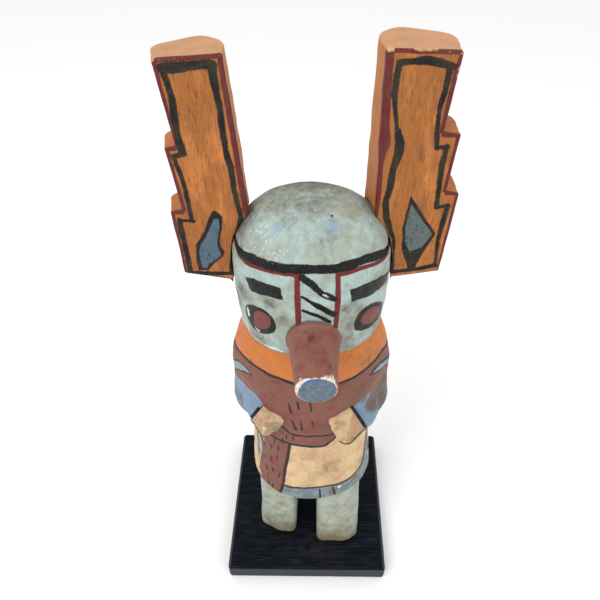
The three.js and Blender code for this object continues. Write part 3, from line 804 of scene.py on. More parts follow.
def make_snout(material):
    """The snout: circles that taper along a dipped line, with a worn rim and a flat end."""
    columns, end_rings, rim_edge = 160, 22, 0.8
    dip, turn = math.radians(SNOUT_DIP), math.radians(SNOUT_TURN)
    ahead = np.array([math.sin(turn) * math.cos(dip), -math.cos(turn) * math.cos(dip), -math.sin(dip)])
    right = np.cross(ahead, (0, 0, 1))
    right /= np.linalg.norm(right)
    up = np.cross(right, ahead)
    length = SNOUT_SEAT + SNOUT_REACH
    rim_rings = length - rim_edge * (1 - np.linspace(0, 1, 9)[1:])
    along = np.concatenate([np.linspace(0, length - rim_edge, 90), rim_rings])
    radius = along_line((SNOUT_ROOT_RADIUS, SNOUT_TIP_RADIUS), along / length)
    radius = radius + SNOUT_FLARE * np.exp(-((along - SNOUT_SEAT + 0.8) / 1.1) ** 2)
    radius = radius - rounding(length - along, 0.5) - 0.1
    radius = np.concatenate([radius, radius[-1] * np.linspace(0.96, 0.06, end_rings)])
    along = np.concatenate([along, np.full(end_rings, length)])
    angle = around(columns)[None]
    circle = radius[:, None, None] * (np.sin(angle)[..., None] * right + np.cos(angle)[..., None] * up)
    rings = np.array(SNOUT_ROOT) + (along[:, None, None] - SNOUT_SEAT) * ahead + circle
    outward = circle / np.maximum(np.linalg.norm(circle, axis=-1, keepdims=True), 1e-6)
    on_side = np.clip((length - along) / 1.5, 0, 1)[:, None]
    rings = rings + outward * (on_side * (uneven(rings, 9, 0.12, 41) - 0.1))[..., None]
    rim = np.where(along < length - 1e-6, length - along, radius - SNOUT_TIP_RADIUS)
    tip = rim[:, None] + 0 * angle
    round_rim = np.degrees(angle) * math.radians(SNOUT_TIP_RADIUS) + 0 * tip
    marks = {
        "tip": np.clip(tip, -FAR, FAR),
        "chip": least(*[area_distance(round_rim, tip, chip) for chip in RIM_CHIPS]),
        "blot": least(*[away_from(middle, rings) - size for middle, size in SNOUT_BLOTS]),
        "blue": np.minimum(area_distance(round_rim, tip, RIM_BLUE), FAR),
    }
    finish_piece(build_skin("snout_rod", rings, marks), material, "snout")


# Horns: brush marks on their fronts, as places sideways and up in the shared frame

BRUSH_SPREAD = 0.12  # that the black spreads past each side of a line
LEFT_BLACK = (
    (((-35.6, 233.5), (-32.4, 233.5), (-28, 234), (-24.5, 234.5), (-22.6, 234.2)), (2.2, 2.8, 2.2, 2.4, 2.6)),
    (((-22.6, 234), (-22.5, 229.4), (-21.8, 223), (-21.9, 217.4), (-21.5, 210), (-20.7, 205.7),
      (-20.5, 198.5), (-19.3, 188.6), (-21.4, 180.7), (-23.5, 173.3), (-24.6, 166.4)),
     (2.2, 1.9, 1.6, 1.7, 1.5, 1.8, 1.4, 1.5, 1.3, 1.2, 1.2)),
    (((-24.6, 166.3), (-30.8, 166.1), (-38.2, 166.5)), (1.3, 1.4, 1.1)),
    (((-38.2, 166.4), (-38.3, 178), (-38.5, 187.6)), (1.6, 1.6, 1.5)),
    (((-38.6, 187.4), (-34.2, 187.1)), (1.1, 1.1)),
    (((-34.7, 187.7), (-35, 199), (-35.7, 204), (-36.7, 208.5)), (1.2, 1.1, 1.3, 0.9)),
    (((-36.8, 209), (-33.8, 209.7)), (1.2, 1.6)),
    (((-34, 209.9), (-34.5, 215.4), (-34.5, 221.2), (-34.1, 225.8), (-35, 230.6), (-35.5, 233.3)),
     (2.2, 1.6, 2.1, 1.6, 1.5, 1.8)),
)
LEFT_LOZENGE = ((-28, 190.8), (-26.7, 190.8), (-25.1, 189), (-25.5, 184.6), (-26.8, 180), (-26.8, 177.4),
                (-25.8, 175.3), (-26.3, 173.6), (-29.7, 170.4), (-32, 167.6), (-35.2, 167.5), (-35.6, 170.4),
                (-34.8, 178), (-31.7, 182.6), (-29.8, 187.1))
LEFT_LOZENGE_BLUE = ((-27.6, 188), (-26.2, 187.7), (-26.4, 184.6), (-27.6, 180), (-27.9, 177),
                     (-26.9, 174.3), (-28.2, 172.6), (-31.4, 170.4), (-32.6, 168.3), (-34, 168.8),
                     (-34.2, 174.6), (-33.4, 177.7), (-31.2, 180.7), (-29.4, 184.6))
LEFT_CHIPS = ((((-29, 236.9), (-27, 237.1)), 1.0), (((-33, 236.7), (-31.4, 236.8)), 0.7),
              (((-37.6, 235.4), (-37.4, 236)), 0.8))
# A maroon band's widths at heights above the brow
LEFT_MAROON = ((0, 1.0), (3, 1.1), (18, 1.2), (24, 1.3), (60, 1.1), (64, 1.3), (70, 1.4))
LEFT_INNER_MAROON = ((0, 0), (12, 0), (16, 1.0), (24, 1.7), (50, 1.6), (64, 1.5), (70, 1.5))
LEFT_PAINT = {
    "black": LEFT_BLACK, "maroon": LEFT_MAROON, "inner_maroon": LEFT_INNER_MAROON,
    "lozenge": LEFT_LOZENGE, "blue": LEFT_LOZENGE_BLUE, "grey": 0.1, "chips": LEFT_CHIPS, "smears": (),
}
RIGHT_BLACK = (
    (((25.1, 234.9), (28.5, 235.1), (31.8, 235.5), (34.9, 234.9), (38.8, 234)),
     (1.4, 1.5, 2.1, 2.0, 1.4)),
    (((37.9, 233.4), (37.4, 227.3), (36.7, 223.2), (37, 217.6), (37.6, 211.8)), (1.4, 1.4, 1.1, 1.2, 0.8)),
    (((37.6, 211.7), (40.6, 212.2)), (1.0, 1.3)),
    (((40.5, 212.2), (39.9, 207), (40.2, 198.8), (40.4, 192.4)), (1.3, 1.6, 1.3, 1.2)),
    (((40.4, 192.3), (43.9, 193.2)), (0.9, 0.9)),
    (((43.8, 193), (43.2, 186.9), (42.7, 180.5), (43.3, 170.4)), (1.2, 1.5, 1.1, 1.1)),
    (((43.4, 170.2), (38.3, 168.7), (29.4, 167.2)), (1.6, 1.4, 1.4)),
    (((25, 234.9), (24.5, 231.6), (24.4, 226.8), (25.2, 221.3), (26, 217.3)), (1.4, 1.6, 1.5, 1.0, 1.1)),
    (((26.4, 216.6), (27.2, 213), (27.2, 209.6), (26.1, 205), (25.8, 199.3), (24.9, 194.1), (25.6, 188.6),
      (27.4, 183.6), (28.6, 181), (29.1, 176.3), (29.4, 168)),
     (1.6, 2.6, 2.4, 1.8, 1.9, 1.8, 1.9, 1.4, 0.8, 0.7, 0.8)),
)
RIGHT_LOZENGE = ((32.2, 196.6), (33, 195.4), (41.7, 182.6), (38.6, 175), (36.6, 168.4), (34.4, 169),
                 (31.6, 176.6), (31, 185))
RIGHT_LOZENGE_BLUE = ((32.7, 193.6), (40.6, 182.6), (38, 177.6), (34.2, 175.6), (32.4, 179.8), (31.9, 185))
RIGHT_MAROON = ((0, 0.9), (3, 1.0), (44, 1.2), (55, 1.4), (64, 1.5), (67, 1.3), (70, 1.2))
RIGHT_INNER_MAROON = ((0, 0), (18, 0), (20, 0.8), (28, 1.3), (38, 1.3), (41, 1.8), (44, 2.9), (50, 2.2),
                      (62, 1.9), (70, 2.0))
RIGHT_CHIPS = ((((21.4, 238.2), (23, 238)), 1.0), (((28.7, 238.2), (34.2, 238.1)), 0.9),
               (((40.5, 233.6), (40.3, 231.4)), 0.9))
RIGHT_SMEARS = ((((33.4, 212), (33.8, 208.4)), 1.4), (((36.6, 217.6), (36.9, 213)), 2.2))
RIGHT_PAINT = {
    "black": RIGHT_BLACK, "maroon": RIGHT_MAROON, "inner_maroon": RIGHT_INNER_MAROON,
    "lozenge": RIGHT_LOZENGE, "blue": RIGHT_LOZENGE_BLUE, "grey": 0.9, "chips": RIGHT_CHIPS,
    "smears": RIGHT_SMEARS,
}


def horn_reaches(horn, height):
    """Sideways reaches of a horn's inner and outer sides at heights above the brow. The outer side steps out
    along slanted ledges, and its corners are worn by averaging it over a short height."""
    def line(ends, top):
        return lambda z: along_line(ends[::-1], (z - horn["foot"]) / (top - horn["foot"]))

    def outer_at(z):
        reach = line(horn["outer"], horn["top"])(z)
        for top, slope, ends in horn["steps"]:
            step = line(ends, top)
            ledge = step(top) - (z - top) / slope
            reach = np.maximum(reach, np.where(z < top, step(z), ledge))
        return reach

    inner = line(horn["inner"], horn["top"])(height)
    spread = np.linspace(-LEDGE_WEAR, LEDGE_WEAR, 7)
    return inner, np.mean([outer_at(height + shift) for shift in spread], 0)


def horn_corner(horn, top):
    """Where a ledge's inner end is: the reach of the outer side just above the ledge's height."""
    return AXIS_X + horn["side"] * horn_reaches(horn, np.array([top + 1.2]))[1][0]


def rounded_corner(before, here, after, radius, count):
    """Points round one corner of a plan: a parabola between the places where its two sides stop."""
    def toward(target):
        way = target - here
        return here + way * np.minimum(radius / np.linalg.norm(way, axis=-1, keepdims=True), 0.48)
    start, end = toward(before), toward(after)
    t = np.linspace(0, 1, count)[None, :, None]
    return (1 - t) ** 2 * start[:, None] + 2 * t * (1 - t) * here[:, None] + t**2 * end[:, None]


def side_points(start, end, count):
    """Points along one straight side of a plan, between the ends of its rounded corners."""
    t = np.linspace(0, 1, count + 2)[None, 1:-1, None]
    return start[:, None] * (1 - t) + end[:, None] * t


def make_horn(name, horn, painted, material, node):
    """A horn: its plan at each height has a flat front, an outer side that steps, a ridge at the back and an
    inner side that follows the head where it seats. The plans are joined as rings up to a slightly sloped
    top, and shrink at both ends to close it."""
    side, depth = horn["side"], horn["inner_depth"]
    total = horn["top"] - horn["foot"]
    levels = [np.linspace(horn["foot"], horn["top"] - 1, 170)]
    levels.append(horn["top"] - (1 - np.linspace(0, 1, 9)) ** 2)
    for top, slope, _ in horn["steps"]:
        levels.append(np.linspace(top - 0.7, top + 0.7 + slope * 4.4, 22))
    height = np.unique(np.round(np.concatenate(levels), 4))
    inner, outer = horn_reaches(horn, height)
    share = (height - horn["foot"]) / total
    shift = along_line(horn["back_shift"][::-1], share)
    flare = along_line(horn["outer_flare"][::-1], share)

    def corner(reach, back):
        x = AXIS_X + side * reach + shift * back / depth
        return np.stack([x, HORN_FRONT_Y + back + 0 * x], -1)

    plan = [corner(inner, 0), corner(outer, 0), corner(outer + flare, horn["outer_depth"]),
            corner(inner + HORN_RIDGE, depth), corner(inner, depth - HORN_RIDGE)]
    radii = (HORN_EDGE, HORN_EDGE, horn["back_corner"], HORN_RIDGE_CORNER, HORN_RIDGE_CORNER)
    neighbours = zip(plan[-1:] + plan[:-1], plan, plan[1:] + plan[:1], radii, CORNER_POINTS)
    corners = [rounded_corner(*given) for given in neighbours]
    loop = []
    for this, following, count in zip(corners, corners[1:] + corners[:1], SIDE_POINTS):
        loop += [this, side_points(this[:, -1], following[:, 0], count)]
    loop = np.concatenate(loop, 1)
    if side < 0:
        loop = loop[:, ::-1]
    columns = loop.shape[1]
    middle = loop.mean(1, keepdims=True)
    size = (outer - inner)[:, None, None] / 2
    worn = rounding(horn["top"] - height, HORN_TOP_EDGE) + rounding(height - horn["foot"], HORN_FOOT_EDGE)
    loop = middle + (loop - middle) * (1 - worn[:, None, None] / size)
    rings = np.concatenate([loop, np.repeat((BROW_Z + height)[:, None, None], columns, 1)], -1)
    share = share[:, None]
    across = side * (rings[..., 0] - AXIS_X)
    rise = horn["slope"] * (outer[:, None] - across)
    foot_reach = horn["steps"][-1][-1][-1]
    drop = (foot_reach - across) * FOOT_SLOPE
    rings[..., 2] += share * rise - np.clip(1 - share * 6, 0, 1) * drop
    up = rings[..., 2]
    back = (rings[..., 1] - AXIS_Y) / HEAD_DEPTH_RATIO
    seat = np.sqrt(np.maximum(head_half_width(up) ** 2 - back**2, 0)) + HORN_SEAT_GAP
    reach = side * (rings[..., 0] - HEAD_X)
    seated = np.maximum(reach, np.minimum(seat, outer[:, None] - HORN_LEAST))
    seated = np.where(up < CROWN_Z, seated, reach)
    rings[..., 0] = HEAD_X + side * seated
    flat_front = np.clip((rings[..., 1] - HORN_FRONT_Y) / 2, 0, 1)
    relief = carved(rings, 16, 0.16, 7, 0.12, -0.16, 51 + side)
    outward = rings[..., :2] - middle
    outward /= np.linalg.norm(outward, axis=-1, keepdims=True)
    rings[..., :2] += outward * (relief * (0.25 + 0.75 * flat_front))[..., None] * np.array([1, 0.5])
    shares = np.linspace(0.96, 0.06, HORN_END_RINGS)[:, None, None]
    lower, upper = (ring.mean(0) + (ring - ring.mean(0)) * shares for ring in (rings[0], rings[-1]))
    upper[..., 2] += uneven(upper, 8, 0.12, 57) * 0.5 - 0.03
    rings = np.concatenate([lower[::-1], rings, upper])
    x, y, z = (rings[..., axis] for axis in range(3))

    def every_ring(reach):
        return AXIS_X + side * np.pad(reach, HORN_END_RINGS, "edge")[:, None]

    def strokes(paths):
        return [path_distance(x, z, path, widths) for path, widths in paths]

    behind_front = y - HORN_FRONT_Y
    off_front = np.maximum(behind_front - 0.45, 0) * 3
    outer_off, inner_off = np.abs(x - every_ring(outer)), np.abs(x - every_ring(inner))
    across = side * (x - AXIS_X)
    from_top = BROW_Z + horn["top"] + horn["slope"] * (outer[-1] - across) - z
    from_foot = z - BROW_Z - horn["foot"] + np.maximum(foot_reach - across, 0) * FOOT_SLOPE
    up = z - BROW_Z
    from_side = np.minimum(outer_off, from_top + 0.3)
    for top, _, _ in horn["steps"]:
        over = (up > top - 1.5) & (up < top + 2)
        ledge = np.hypot(np.maximum(side * (horn_corner(horn, top) - x), 0), up - top)
        from_side = np.minimum(from_side, np.where(over | (up < top), ledge + 0.6, FAR))
    framed = np.minimum(from_side, from_foot + 0.5) - np.interp(up, *zip(*painted["maroon"]))
    inner_band = inner_off - np.interp(up, *zip(*painted["inner_maroon"]))
    upright_edge = np.hypot(np.minimum(outer_off, inner_off), np.maximum(behind_front, 0))
    black = [line - BRUSH_SPREAD for line in strokes(painted["black"])]
    chipped = least(*strokes(painted["chips"])) + np.maximum(behind_front - 1.4, 0) * 2
    marks = {
        "black": least(*black, area_distance(x, z, painted["lozenge"])) + off_front,
        "maroon": np.minimum(framed, inner_band) + off_front / 2,
        "blue": np.minimum(area_distance(x, z, painted["blue"]), FAR) + off_front,
        "smear": least(*strokes(painted["smears"]), FAR + 0 * x) + off_front,
        "chip": np.minimum(chipped, FAR),
        "grey": np.full(x.shape, painted["grey"]),
        "edge": np.minimum(upright_edge, FAR),
        "top_edge": np.minimum(np.hypot(from_top, behind_front), FAR),
        "top": np.minimum(from_top, FAR),
        # Painted light: how far behind the front, where the sides and back are painted paler.
        "side": np.clip((behind_front - 0.6) / 2, 0, 1),
    }
    finish_piece(build_skin(name, rings, marks), material, node)


# Display block

BLOCK_DUST = (((3, -27, 10), 8, 0.6), ((12, -31, 10), 7, 0.4), ((-8, -29, 10), 6, 0.3))
BLOCK_CORNER, BLOCK_TOP_EDGE, BLOCK_FOOT_EDGE = 1.6, 1.2, 1.5
BLOCK_MIDDLE_Z = 5
BLOCK_FACE_RINGS = 39


def make_block(material):
    """The block: the outline of a square with rounded corners, carried up its thickness and drawn in at the
    worn top and bottom edges, then inward over the flat faces."""
    low, high = BLOCK_LOW, BLOCK_HIGH
    middle = (low + high) / 2
    half = (high - low)[:2] / 2
    per_side, per_corner = 90, 8
    straight = np.linspace(-1, 1, per_side, endpoint=False)
    turn = np.linspace(0, math.pi / 2, per_corner, endpoint=False)
    outline = []
    for quarter in range(4):
        start = quarter * math.pi / 2
        along = half[quarter % 2] - BLOCK_CORNER
        out = half[(quarter + 1) % 2]
        side = np.stack([straight * along, np.full(per_side, -out)], -1)
        bend = np.stack([along + BLOCK_CORNER * np.sin(turn), -out + BLOCK_CORNER * (1 - np.cos(turn))], -1)
        rotation = np.array([[math.cos(start), -math.sin(start)], [math.sin(start), math.cos(start)]])
        outline.append(np.concatenate([side, bend]) @ rotation.T)
    outline = np.concatenate(outline)
    rise = np.linspace(0, 1, 8)
    foot, edge = (np.concatenate([radius * rise[:-1] ** 2, np.linspace(radius, BLOCK_MIDDLE_Z, 8)])
                  for radius in (BLOCK_FOOT_EDGE, BLOCK_TOP_EDGE))
    heights = np.concatenate([low[2] + foot, high[2] - edge[::-1][1:]])
    draw_in = rounding(heights - low[2], BLOCK_FOOT_EDGE) + rounding(high[2] - heights, BLOCK_TOP_EDGE)
    scale = 1 - draw_in / half[0]
    inward = np.linspace(1, 0.02, BLOCK_FACE_RINGS + 1)[1:] * scale[0]
    scale = np.concatenate([inward[::-1], scale, inward])
    heights = np.pad(heights, BLOCK_FACE_RINGS, "edge")
    flat = middle[:2] + outline[None] * scale[:, None, None]
    rings = np.concatenate([flat, np.repeat(heights[:, None, None], len(outline), 1)], -1)
    rings[..., 2] -= 0.05 * (heights[:, None] > middle[2]) * (1 + uneven(rings, 30, 0.6, 61))
    beyond = half - np.abs(rings[..., :2] - middle[:2])
    from_top = high[2] - rings[..., 2]
    edges = np.hypot(beyond.min(-1), np.maximum(from_top, 0))
    nearest = np.minimum(edges, np.hypot(beyond[..., 0], beyond[..., 1]))
    on_top = np.abs(from_top - 0.1) < 0.4
    sides = np.where(on_top, np.abs(rings[..., 0] - middle[0]) - half[0] + BLOCK_TOP_EDGE, -FAR)
    marks = {
        "edge": np.minimum(nearest, FAR),
        # The top's left and right bevels, where a painted highlight goes.
        "bevel": np.where(rings[..., 2] > BLOCK_MIDDLE_Z, np.clip(sides, -FAR, FAR), -FAR),
        # The faces below the top, which are painted lighter as painted light.
        "below": np.clip(from_top - 0.6, 0, 1),
        "dust": soft_spots(rings, BLOCK_DUST),
    }
    finish_piece(build_skin("display_block", rings, marks), material, "plinth")


# Colours, as the eye reads them

def shade(red, green, blue):
    """A colour given in the usual 0 to 255 steps, as the linear light that shaders work in, by the standard
    curve for screens."""
    parts = []
    for part in (red, green, blue):
        share = part / 255
        parts.append(share / 12.92 if share <= 0.04045 else ((share + 0.055) / 1.055) ** 2.4)
    return (*parts, 1.0)


ORANGE = shade(163, 98, 45)
ORANGE_DARK = shade(104, 66, 38)
ORANGE_PALE = shade(194, 120, 60)
HORN_TOP = shade(200, 152, 112)
# Paler orange, painted light on the horns' sides and backs.
HORN_SIDE_LIGHT = shade(204, 130, 74)
COLLAR_ORANGE = shade(198, 116, 57)
MAROON = shade(95, 30, 35)
FACE_MAROON = shade(106, 36, 36)
BRICK = shade(128, 76, 66)
BRICK_RED = shade(120, 56, 50)
BRICK_BROWN = shade(108, 80, 64)
SNOUT_BROWN = shade(140, 90, 78)
SNOUT_RED = shade(130, 66, 58)
BLOT_RED = shade(104, 44, 44)
CHEEK_RED = shade(112, 62, 52)
BLACK = shade(14, 16, 18)
DUSTY_BLACK = shade(33, 36, 37)
LINE_GREY = shade(36, 33, 37)
FACE_BLUE = shade(168, 188, 185)
FACE_GREEN = shade(154, 162, 146)
# Grime, and also painted shade above the chin and on one hand facet.
GRIME_AND_SHADE = shade(104, 88, 62)
# Dark grime, and also painted shade under the hands and round the snout's root.
DARK_GRIME_AND_SHADE = shade(74, 62, 46)
PATCH_BLUE = shade(138, 172, 196)
# Chalky white, and also the face's painted highlights.
CHALK_AND_HIGHLIGHT = shade(214, 220, 218)
SLEEVE_BLUE = shade(118, 148, 176)
SLEEVE_STAIN = shade(104, 80, 70)
HAND_TAN = shade(196, 172, 132)
HAND_PINK = shade(184, 140, 110)
KILT_TAN = shade(212, 182, 138)
KILT_PINK = shade(198, 158, 124)
HEM_GREY = shade(110, 124, 132)
HEM_STAIN = shade(112, 104, 94)
WEDGE_GREY = shade(138, 150, 156)
LOZENGE_BLUE = shade(76, 102, 122)
LOZENGE_GREY = shade(90, 101, 98)
LEG_MINT = shade(148, 152, 130)
LEG_WHITE = shade(166, 174, 164)
OCHRE = shade(122, 108, 74)
BARE_WOOD = shade(214, 188, 148)
CHIP_WOOD = shade(206, 164, 112)
TIP_GREY = shade(84, 96, 110)
TIP_BLUE = shade(58, 100, 168)
BLOCK_BLACK = shade(6, 9, 15)
BLOCK_STREAK = shade(42, 52, 64)
# Grey of rubbed edges, and also the painted highlight on the top's side bevels.
BLOCK_WEAR_AND_HIGHLIGHT = shade(74, 78, 82)
# Lighter grey, painted light on the block's sides.
BLOCK_SIDE_LIGHT = shade(54, 57, 59)
DUST = shade(46, 43, 42)
FLOOR_WHITE = shade(253, 253, 253)


# Shader parts

def add(tree, kind, inputs=(), **settings):
    """A node with its settings, and its inputs as numbers, colours or the sockets that feed them."""
    node = tree.nodes.new(kind)
    for setting, value in settings.items():
        setattr(node, setting, value)
    for socket, value in dict(inputs).items():
        if isinstance(value, bpy.types.NodeSocket):
            tree.links.new(value, node.inputs[socket])
        else:
            node.inputs[socket].default_value = value
    return node


def calculate(tree, operation, first, second=0.0, clamp=False):
    """A Math node's value."""
    return add(tree, "ShaderNodeMath", {0: first, 1: second}, operation=operation, use_clamp=clamp).outputs[0]


def part_of(tree, value, share, clamp=False):
    """A value times another."""
    return calculate(tree, "MULTIPLY", value, share, clamp)


def blend_colour(tree, share, under, over):
    """One colour laid over another by a share."""
    inputs = {0: share, 6: under, 7: over}
    return add(tree, "ShaderNodeMix", inputs, data_type="RGBA").outputs[2]


def between(tree, value, low, high, to_low=0.0, to_high=1.0):
    """A value carried from one range to another and held inside it."""
    inputs = {0: value, 1: low, 2: high, 3: to_low, 4: to_high}
    return add(tree, "ShaderNodeMapRange", inputs, interpolation_type="SMOOTHSTEP").outputs[0]


def noise(tree, place, scale, detail=3.0, roughness=0.55, distortion=0.0):
    """A noise value. scale is in swells per millimetre."""
    inputs = {"Vector": place, "Scale": scale, "Detail": detail, "Roughness": roughness}
    return add(tree, "ShaderNodeTexNoise", {**inputs, "Distortion": distortion}).outputs[0]


def millimetres(tree, stretch=(1, 1, 1), shift=(0, 0, 0)):
    """Object coordinates in millimetres, which a stretch draws out along one way of the wood."""
    place = add(tree, "ShaderNodeTexCoord").outputs["Object"]
    scale = tuple(1 / (MM * part) for part in stretch)
    return add(tree, "ShaderNodeMapping", {"Vector": place, "Scale": scale, "Location": shift}).outputs[0]


def sized_millimetres(tree, size):
    """Object coordinates in millimetres times a size: a greater one makes a finer pattern."""
    scaled = {0: millimetres(tree), "Scale": size}
    return add(tree, "ShaderNodeVectorMath", scaled, operation="SCALE").outputs[0]


def mark(tree, name):
    """A number kept at each point of a piece, such as its distance from a brush mark."""
    return add(tree, "ShaderNodeAttribute", attribute_name=name).outputs["Fac"]


def new_group(name, sockets, outputs):
    """An empty shader group with number or colour inputs and outputs."""
    group = bpy.data.node_groups.new(name, "ShaderNodeTree")
    for socket, kind, value in sockets:
        item = group.interface.new_socket(socket, in_out="INPUT", socket_type=kind)
        item.default_value = value
    for socket, kind in outputs:
        group.interface.new_socket(socket, in_out="OUTPUT", socket_type=kind)
    return group, group.nodes.new("NodeGroupInput").outputs, group.nodes.new("NodeGroupOutput")


NUMBER, COLOUR = "NodeSocketFloat", "NodeSocketColor"
CRISP = 0.18  # mm, how soft the edge of a plain brush mark is


def brush_mark_group():
    """How much of a brush mark's paint covers a point: one inside the mark and none outside, with an edge
    that wavers as a hand-held brush does, and with dry streaks that let the ground show."""
    group, given, result = new_group("brush mark", (
        ("Distance", NUMBER, 1.0), ("Waver", NUMBER, 0.3), ("Ragged", NUMBER, 0.12),
        ("Soft", NUMBER, CRISP), ("Dry", NUMBER, 0.2),
    ), (("Cover", NUMBER),))
    place = millimetres(group)
    slow = calculate(group, "SUBTRACT", noise(group, place, 0.32, 2.0), 0.5)
    quick = calculate(group, "SUBTRACT", noise(group, place, 2.2, 3.0, 0.7), 0.5)
    edge = calculate(group, "ADD", part_of(group, slow, given["Waver"]), given["Distance"])
    ragged = calculate(group, "ADD", part_of(group, quick, given["Ragged"]), edge)
    cover = between(group, ragged, part_of(group, given["Soft"], -1.0), given["Soft"], 1.0, 0.0)
    streaks = noise(group, millimetres(group, (0.35, 0.35, 2.4)), 1.4, 4.0, 0.75)
    bare = part_of(group, between(group, streaks, 0.56, 0.78), given["Dry"])
    kept = calculate(group, "SUBTRACT", 1.0, bare, True)
    group.links.new(part_of(group, cover, kept), result.inputs["Cover"])
    return group


def wood_paint_group():
    """Thin paint over wood: a colour that darkens and pales in streaks along the upright grain, with a
    height for the brush's furrows."""
    group, given, result = new_group("thin paint over grain", (
        ("Colour", COLOUR, ORANGE), ("Dark", COLOUR, ORANGE_DARK), ("Pale", COLOUR, ORANGE_PALE),
        ("Streaks", NUMBER, 0.5),
    ), (("Colour", COLOUR), ("Height", NUMBER)))
    fine = noise(group, millimetres(group, (0.3, 0.3, 3.4)), 1.0, 5.0, 0.68)
    broad = noise(group, millimetres(group, (1, 1, 3.2), (7, 3, 1)), 0.16, 3.0, 0.6)
    dark = part_of(group, between(group, fine, 0.47, 0.72), given["Streaks"])
    pale = part_of(group, between(group, broad, 0.48, 0.7), given["Streaks"])
    colour = blend_colour(group, pale, given["Colour"], given["Pale"])
    colour = blend_colour(group, dark, colour, given["Dark"])
    group.links.new(colour, result.inputs["Colour"])
    group.links.new(fine, result.inputs["Height"])
    return group


def grime_group():
    """Age and handling: brown grime in soft clouds and fine mottling, and small dark specks."""
    group, given, result = new_group("grime", (
        ("Colour", COLOUR, FACE_BLUE), ("Grime", COLOUR, GRIME_AND_SHADE), ("Amount", NUMBER, 0.5),
        ("Specks", NUMBER, 0.5), ("Size", NUMBER, 1.0),
    ), (("Colour", COLOUR), ("Height", NUMBER)))
    sized = sized_millimetres(group, given["Size"])
    clouds = noise(group, sized, 0.13, 5.0, 0.62, 0.4)
    mottle = noise(group, sized, 0.9, 5.0, 0.7)
    shape = calculate(group, "ADD", part_of(group, clouds, 0.62), part_of(group, mottle, 0.38))
    share = part_of(group, between(group, shape, 0.4, 0.66), given["Amount"], True)
    colour = blend_colour(group, share, given["Colour"], given["Grime"])
    spots = noise(group, sized, 1.9, 2.0, 0.5)
    speck = part_of(group, between(group, spots, 0.69, 0.75), given["Specks"], True)
    colour = blend_colour(group, speck, colour, BLACK)
    group.links.new(colour, result.inputs["Colour"])
    group.links.new(mottle, result.inputs["Height"])
    return group


def chip_group():
    """Chips and rubbing along an edge: one where the distance to the edge is less than a ragged width."""
    group, given, result = new_group("worn edge", (
        ("Distance", NUMBER, 5.0), ("Width", NUMBER, 0.8), ("Amount", NUMBER, 0.5), ("Size", NUMBER, 1.0),
    ), (("Worn", NUMBER),))
    sized = sized_millimetres(group, given["Size"])
    patches = noise(group, sized, 0.45, 4.0, 0.75)
    low = calculate(group, "SUBTRACT", 1.0, given["Amount"])
    where = between(group, patches, low, calculate(group, "ADD", low, 0.16))
    near = calculate(group, "SUBTRACT", part_of(group, where, given["Width"]), given["Distance"])
    group.links.new(between(group, near, -0.08, 0.12), result.inputs["Worn"])
    return group


BRUSH_MARK = brush_mark_group()
THIN_PAINT = wood_paint_group()
AGE = grime_group()
WORN_EDGE = chip_group()


def use(tree, group, **inputs):
    """Places a shader group with its own values and returns its outputs."""
    return add(tree, "ShaderNodeGroup", inputs, node_tree=group).outputs


def cover_of(tree, name, *brush):
    """How much of a piece's brush mark covers. The brush is how its edge wavers, how ragged and how soft the
    edge is, and how dry the paint."""
    inputs = dict(zip(("Waver", "Ragged", "Soft", "Dry"), brush))
    return use(tree, BRUSH_MARK, Distance=mark(tree, name), **inputs)["Cover"]


def coats(tree, colour, *layers):
    """Brush marks laid over a colour one after another: each layer is a mark, its paint and its brush. Also
    returns how much the last of them covers."""
    for name, paint, *brush in layers:
        cover = cover_of(tree, name, *brush)
        colour = blend_colour(tree, cover, colour, paint)
    return colour, cover


def tinted(tree, colour, share, strength, paint):
    """A paint over a colour by a share, at less than its full strength."""
    return blend_colour(tree, part_of(tree, share, strength), colour, paint)


def worn_along(tree, name, width, amount, size):
    """How worn the surface is along an edge whose distance a piece keeps."""
    return use(tree, WORN_EDGE, Distance=mark(tree, name), Width=width, Amount=amount, Size=size)["Worn"]


def new_material(name, roughness, gloss=0.35):
    """A material with an empty paint tree, and its Principled shader with a steady gloss."""
    material = bpy.data.materials.new(name)
    material.use_nodes = True
    shader = material.node_tree.nodes["Principled BSDF"]
    shader.inputs["Roughness"].default_value = roughness
    shader.inputs["Specular IOR Level"].default_value = gloss
    return material, material.node_tree, shader


def connect(tree, shader, colour, roughness=None, height=None, depth=0.1, strength=0.6):
    """Feeds a shader its colour, roughness and a bump whose depth is in millimetres."""
    tree.links.new(colour, shader.inputs["Base Color"])
    if roughness is not None:
        tree.links.new(roughness, shader.inputs["Roughness"])
    if height is not None:
        bump = add(tree, "ShaderNodeBump", {"Height": height, "Strength": strength, "Distance": depth * MM})
        tree.links.new(bump.outputs[0], shader.inputs["Normal"])


def patchy(tree, place, scale, low, high, first, second):
    """Two colours in soft patches: the second shows where a noise rises above a band."""
    return blend_colour(tree, between(tree, noise(tree, place, scale, 4.0, 0.62), low, high), first, second)


def dirtied_and_shaded(tree, colour, place, dirt_and_shade, amount=1.0):
    """Grime and painted shade over a colour, in the soft spots that a piece keeps, broken up by fine noise.
    """
    broken = calculate(tree, "ADD", dirt_and_shade, noise(tree, place, 0.5, 5.0, 0.7))
    share = between(tree, broken, 0.62, 1.35, 0.0, amount)
    return blend_colour(tree, share, colour, blend_colour(tree, share, GRIME_AND_SHADE, DARK_GRIME_AND_SHADE))


